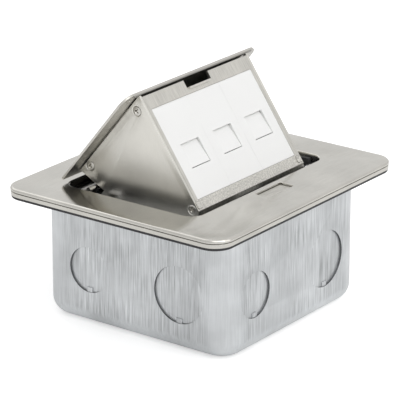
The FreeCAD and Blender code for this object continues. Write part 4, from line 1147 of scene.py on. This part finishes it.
@dataclass
class FloorBox:
    """The back box, its faceplate and everything fixed to them.

    A set of screws is placed by how far out it sits, its places along Y and the height of its heads' undersides.
    The knockouts have two radii, and their places along the side and the front wall come small before large.
    """

    body: str = "floor_box"
    box_screws: tuple[float, Span, float] = (42.6, (-27.5, 20.5), 55.2)
    plate_screws: tuple[float, Span, float] = (38.0, (-41.0, 43.5), 53.7)
    cover_screws: tuple[float, tuple[float], float] = (24.0, (33.0,), 56.4)
    groove: Span = (58.48, 58.92)
    plate_half: Span = (65.0, 57.0)
    groove_share: float = 0.9
    box_half: Span = (49.0, 49.5)
    knock_height: float = 25.4
    knock_radii: Span = (10.15, 12.65)
    knock_places: tuple[Span, Span] = ((23.2, -24.2), (-29.7, 21.5))
    knock_sink: Span = (0.02, 0.85)
    knock_band: float = 0.25

    def grooved(self, middle: Vector) -> bool:
        """Whether a face of the faceplate lies inside the groove round its rim."""
        side = max(abs(middle.x) / self.plate_half[0], abs(middle.y) / self.plate_half[1])
        return self.groove[0] < middle.z < self.groove[1] and side > self.groove_share

    def sheared(self, middle: Vector) -> bool:
        """Whether a face of the box is a knockout's sheared edge.

        Args:
            middle: the face's middle, in millimetres.

        Returns:
            True on the round wall between a knockout and the sheet.
        """
        for axis, places in enumerate(self.knock_places):
            if self.knock_sink[0] < self.box_half[axis] - abs(middle[axis]) < self.knock_sink[1]:
                for place, radius in zip(places, self.knock_radii):
                    reach = math.hypot(middle[1 - axis] - place, middle.z - self.knock_height)
                    if abs(reach - radius) < self.knock_band:
                        return True
        return False

    def screws(self) -> None:
        """Make the three sets of screws."""
        up, down = Vector((0, 0, 1)), Vector((0, 0, -1))
        Screws("box_screws", self.body, both_sides(*self.box_screws), up, head=3.0, seat_radius=3.0, height=1.4,
               crown=0.6, shank=1.6, reach=9.0, seed=3).build()
        Screws("plate_screws", self.body, both_sides(*self.plate_screws), down, head=2.75, seat_radius=2.75,
               height=1.4, crown=0.6, shank=1.25, reach=4.8, seed=5).build()
        Screws("cover_screws", self.body, both_sides(*self.cover_screws), up, head=2.2, seat_radius=1.2, height=0.9,
               crown=0.1, shank=1.2, reach=5.0, seed=7).build()

    def build(self) -> None:
        """Dress the fixed pieces."""
        Dressed("back_box", self.body, "drawn_steel", "drawn_steel", 0.15, accent="sheared_edge",
                picks=self.sheared).build()
        Dressed("frame_plate", self.body, "faceplate_nickel", "faceplate", 0.18, accent="groove_shade",
                picks=self.grooved).build()
        dress(self.body, ("frame_gasket", "seal_rubber", "rubber_seal", 0.25),
              ("carrier_frame", "plain_steel", "carrier_steel", 0.12),
              ("hinge_cover", "faceplate_nickel", "cover_strip", 0.2),
              ("lid_buffers", "seal_rubber", "rubber_seal", 0.25),
              ("hinge_rod", "plain_steel", "turned_steel", 0.15),
              ("hinge_clips", "bright_plate", "fasteners", 0.08),
              *((node, "brass", "brass_parts", 0.12) for node in ("earth_stud", "earth_washer", "earth_nut")))
        self.screws()


@dataclass
class Springs:
    """The coiled springs.

    A coil is a radius, a wire's diameter and how many turns and steps to a turn it has. The tab that a lift
    spring pushes is placed from the pivot, along Y and Z of the open cassette's frame.
    """

    body: str = "floor_box"
    pivot: Span = (34.2, 45.1)
    rail_under: float = 53.7
    outer_x: float = 34.4
    coil: float = 3.5
    pitch: float = 1.5
    wire: float = 1.3
    whole_turns: float = 3.0
    tab: Span = (-12.7, -7.9)
    tab_width: float = 4.0
    tab_gap: float = 0.06
    seat_gap: float = 0.1
    latch_coil: float = 1.12
    latch_wire: float = 0.36
    latch_turns: float = 7.0
    steps: int = 28

    def helix(self, radius: float, pitch: float, turns: float) -> list[Vector]:
        """A coil about Z that starts on the X axis.

        Args:
            radius: the turns' radius.
            pitch: advance of each turn.
            turns: how many turns there are.

        Returns:
            The coil's points.
        """
        count = round(turns * self.steps)
        angles = [math.tau * turns * index / count for index in range(count + 1)]
        return [Vector((radius * math.cos(angle), radius * math.sin(angle), pitch * angle / math.tau))
                for angle in angles]

    def lift_path(self, side: int) -> list[Vector]:
        """The line of a lift spring: seat leg, coil and tab leg.

        Args:
            side: -1 for the left spring and 1 for the right one.

        Returns:
            The line's points.
        """
        corner = Lie.ON_THE_LID.way(*self.tab).yz
        inset = self.coil - self.wire / 2 - self.tab_gap
        heading = math.atan2(corner.y, corner.x) - math.asin(inset / corner.length)
        turns = self.whole_turns + (math.pi * 3 / 2 - heading) / math.tau % 1
        coil = self.helix(self.coil, self.pitch, turns)
        leg = math.sqrt(corner.length ** 2 - inset ** 2) + self.tab_width / 2
        end = math.tau * turns
        seat_leg = Vector((self.coil, -(self.rail_under - self.pivot[1] - self.seat_gap), 0))
        path = [seat_leg] + coil + [coil[-1] + Vector((-math.sin(end), math.cos(end), 0)) * leg]
        return [Vector((side * (self.outer_x - p.z), self.pivot[0] + p.x, self.pivot[1] - p.y)) for p in path]

    def latch_path(self) -> list[Vector]:
        """The line of the latch's compression spring, in its solid's box.

        Returns:
            The line's points.
        """
        low, high = (corner / MM for corner in map(Vector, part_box("latch_spring")))
        middle = (low + high) / 2
        length = high.y - low.y - self.latch_wire
        coil = self.helix(self.latch_coil, length / self.latch_turns, self.latch_turns)
        return [Vector((middle.x + p.x, low.y + self.latch_wire / 2 + p.z, middle.z - p.y)) for p in coil]

    def build(self) -> None:
        """Make the three springs."""
        for side, name in ((-1, "lift_spring_left"), (1, "lift_spring_right")):
            Wires(name, self.body, [self.lift_path(side)], self.wire / 2).build()
        Wires("latch_spring", self.body, [self.latch_path()], self.latch_wire / 2, 8).build()


@dataclass
class Latch:
    """The release button and the bolt, which ride on bodies of their own."""

    ease: float = 0.15

    def build(self) -> None:
        """Dress the button and the bolt."""
        dress("button", ("release_button", "button_nickel", "button_metal", self.ease))
        dress("latch", ("latch_bolt", "plain_steel", "turned_steel", self.ease))


@dataclass
class Cassette:
    """The tilting cassette with its lid, cheeks, front frame and modules.

    The cheeks' screws and the rivet are placed in the lid's frame, the pads, flaps and contacts in the face's.
    A seam is the place of a module's edge that moves, and where it goes.
    """

    body: str = "cassette"
    ports: tuple[tuple[str, float], ...] = (("left", -22.6), ("centre", 0.0), ("right", 22.6))
    side_screw_x: float = 37.0
    side_screws: tuple[Span, ...] = ((-23.765, -5.129), (-13.053, -50.644), (14.7, -4.0))
    rivet: Point = (41.35, -26.5, -1.2)
    block_x: float = 36.0
    block_z: float = -50.3
    seams: tuple[Span, ...] = ((-11.45, -11.345), (11.45, 11.365))
    flap_half: float = 6.05
    flap_foot: float = -34.9
    flap_grows: float = 0.2
    contact_pitch: float = 1.02
    contact_line: tuple[Span, ...] = ((16.5, -26.5), (16.9, -27.2), (24.7, -30.7))
    contact_radius: float = 0.17

    def rivets(self) -> None:
        """Make the two low rivet heads below the lid's front corners."""
        x, y, z = self.rivet
        places = [Lie.ON_THE_LID.place(y, z, side * x) for side in (-1, 1)]
        obj = rivet_dot().run("lid_rivets", seeds("lid_rivets", places, Lie.ON_THE_LID.way(0.0, -1.0)),
                              "screw_nickel", {})
        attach(obj, self.body)
        LOG.info("piece %s on %s", obj.name, self.body)

    def blocks(self) -> tuple[bmesh.types.BMesh, ...]:
        """The small rounded-square pads at both ends of the low strip.

        Returns:
            A closed mesh for each pad.
        """
        across, up = Vector((1, 0, 0)), Lie.ON_THE_FACE.way(0.0, 1.0)
        return tuple(Pad().form(Lie.ON_THE_FACE.place(0.0, self.block_z, x), across, up)
                     for x in (-self.block_x, self.block_x))

    def block_side(self, middle: Vector) -> bool:
        """Whether a face of the front frame is the side wall of one of the small pads.

        Args:
            middle: the face's middle, in millimetres.

        Returns:
            True between the pad's foot and its top.
        """
        near, low, high = 2.4, 0.01, 0.28
        away = middle - Lie.ON_THE_FACE.place(0.0, self.block_z, math.copysign(self.block_x, middle.x))
        return away.length < near and low < away.dot(Lie.ON_THE_FACE.way(-1.0, 0.0)) < high

    def close_seams(self, corner: Vector) -> Vector:
        """Bring neighbouring modules' edges together, so that hardly a seam shows.

        Args:
            corner: a corner of a module, in millimetres.

        Returns:
            The corner, moved along X if it is on a seam.
        """
        close = 0.05
        for seam, place in self.seams:
            if abs(corner.x - seam) < close:
                return Vector((place, corner.y, corner.z))
        return corner

    def widen_flap(self, corner: Vector, middle: float) -> Vector:
        """Narrow the gaps beside and below a shutter by moving its edges out a hair.

        Args:
            corner: a corner of the shutter, in millimetres.
            middle: the port's place along X.

        Returns:
            The corner, moved out if it is on the shutter's side or lower edge.
        """
        at_side, at_foot = 0.03, 0.05
        side = corner.x - middle
        if abs(abs(side) - self.flap_half) < at_side:
            corner = Vector((corner.x + math.copysign(self.flap_grows, side), corner.y, corner.z))
        up = Lie.ON_THE_FACE.way(0.0, 1.0)
        height = (corner - Lie.ON_THE_FACE.place(0.0, self.flap_foot)).dot(up)
        return corner - up * self.flap_grows if height < at_foot else corner

    def contacts(self) -> None:
        """Make the eight sprung wires in each jack."""
        lines = [[Lie.ON_THE_FACE.place(y, z, middle + (index - 3.5) * self.contact_pitch)
                  for y, z in self.contact_line] for _, middle in self.ports for index in range(8)]
        Wires("jack_contacts", self.body, lines, self.contact_radius, 6, "contact_gold", "contact_gold").build()

    def screws(self) -> None:
        """Make the countersunk screws in the two cheeks, left and right."""
        for side, name in ((-1, "side_screws_left"), (1, "side_screws_right")):
            places = [Lie.ON_THE_LID.place(y, z, side * self.side_screw_x) for y, z in self.side_screws]
            Screws(name, self.body, places, Vector((side, 0, 0)), head=2.05, seat_radius=1.2, height=0.85,
                   crown=0.25, shank=1.25, reach=5.0, seed=11 + side, finish_name="screw_nickel").build()

    def build(self) -> None:
        """Dress the moving pieces."""
        dress(self.body, ("lid", "lid_nickel", "lid_skin", 0.12))
        self.rivets()
        dress(self.body, *(("side_panel_" + side, "panel_nickel", "side_panels", 0.15) for side in ("left", "right")))
        Dressed("front_frame", self.body, "front_nickel", "front_metal", 0.12, self.blocks(), "groove_shade",
                self.block_side).build()
        dress(self.body, ("tie_bar", "plain_steel", "turned_steel", 0.2),
              ("hinge_bushes", "brass", "brass_parts", 0.08), ("lid_nuts", "bright_plate", "fasteners", 0.12))
        self.screws()
        self.contacts()
        for name, middle in self.ports:
            Dressed("module_" + name, self.body, "module_white", "module_white", 0.03,
                    reshape=self.close_seams).build()
            Dressed("shutter_" + name, name + "_shutter", "shutter_white", "shutter_white", 0.05,
                    reshape=lambda corner, middle=middle: self.widen_flap(corner, middle)).build()
            dress(self.body, ("shutter_spring_" + name, "spring_steel", "spring_wire", 0.0),
                  ("jack_" + name, "jack_grey", "jack_body", 0.15),
                  ("terminal_cap_" + name, "cap_dark", "terminal_caps", 0.2))


def main() -> None:
    """Build the studio and every sub-assembly, and report each."""
    logging.basicConfig(level=logging.INFO, format="%(name)s: %(message)s")
    for part in (Studio(), FloorBox(), Springs(), Latch(), Cassette()):
        part.build()
        LOG.info("built %s", type(part).__name__)


if __name__ == "__main__":
    main()
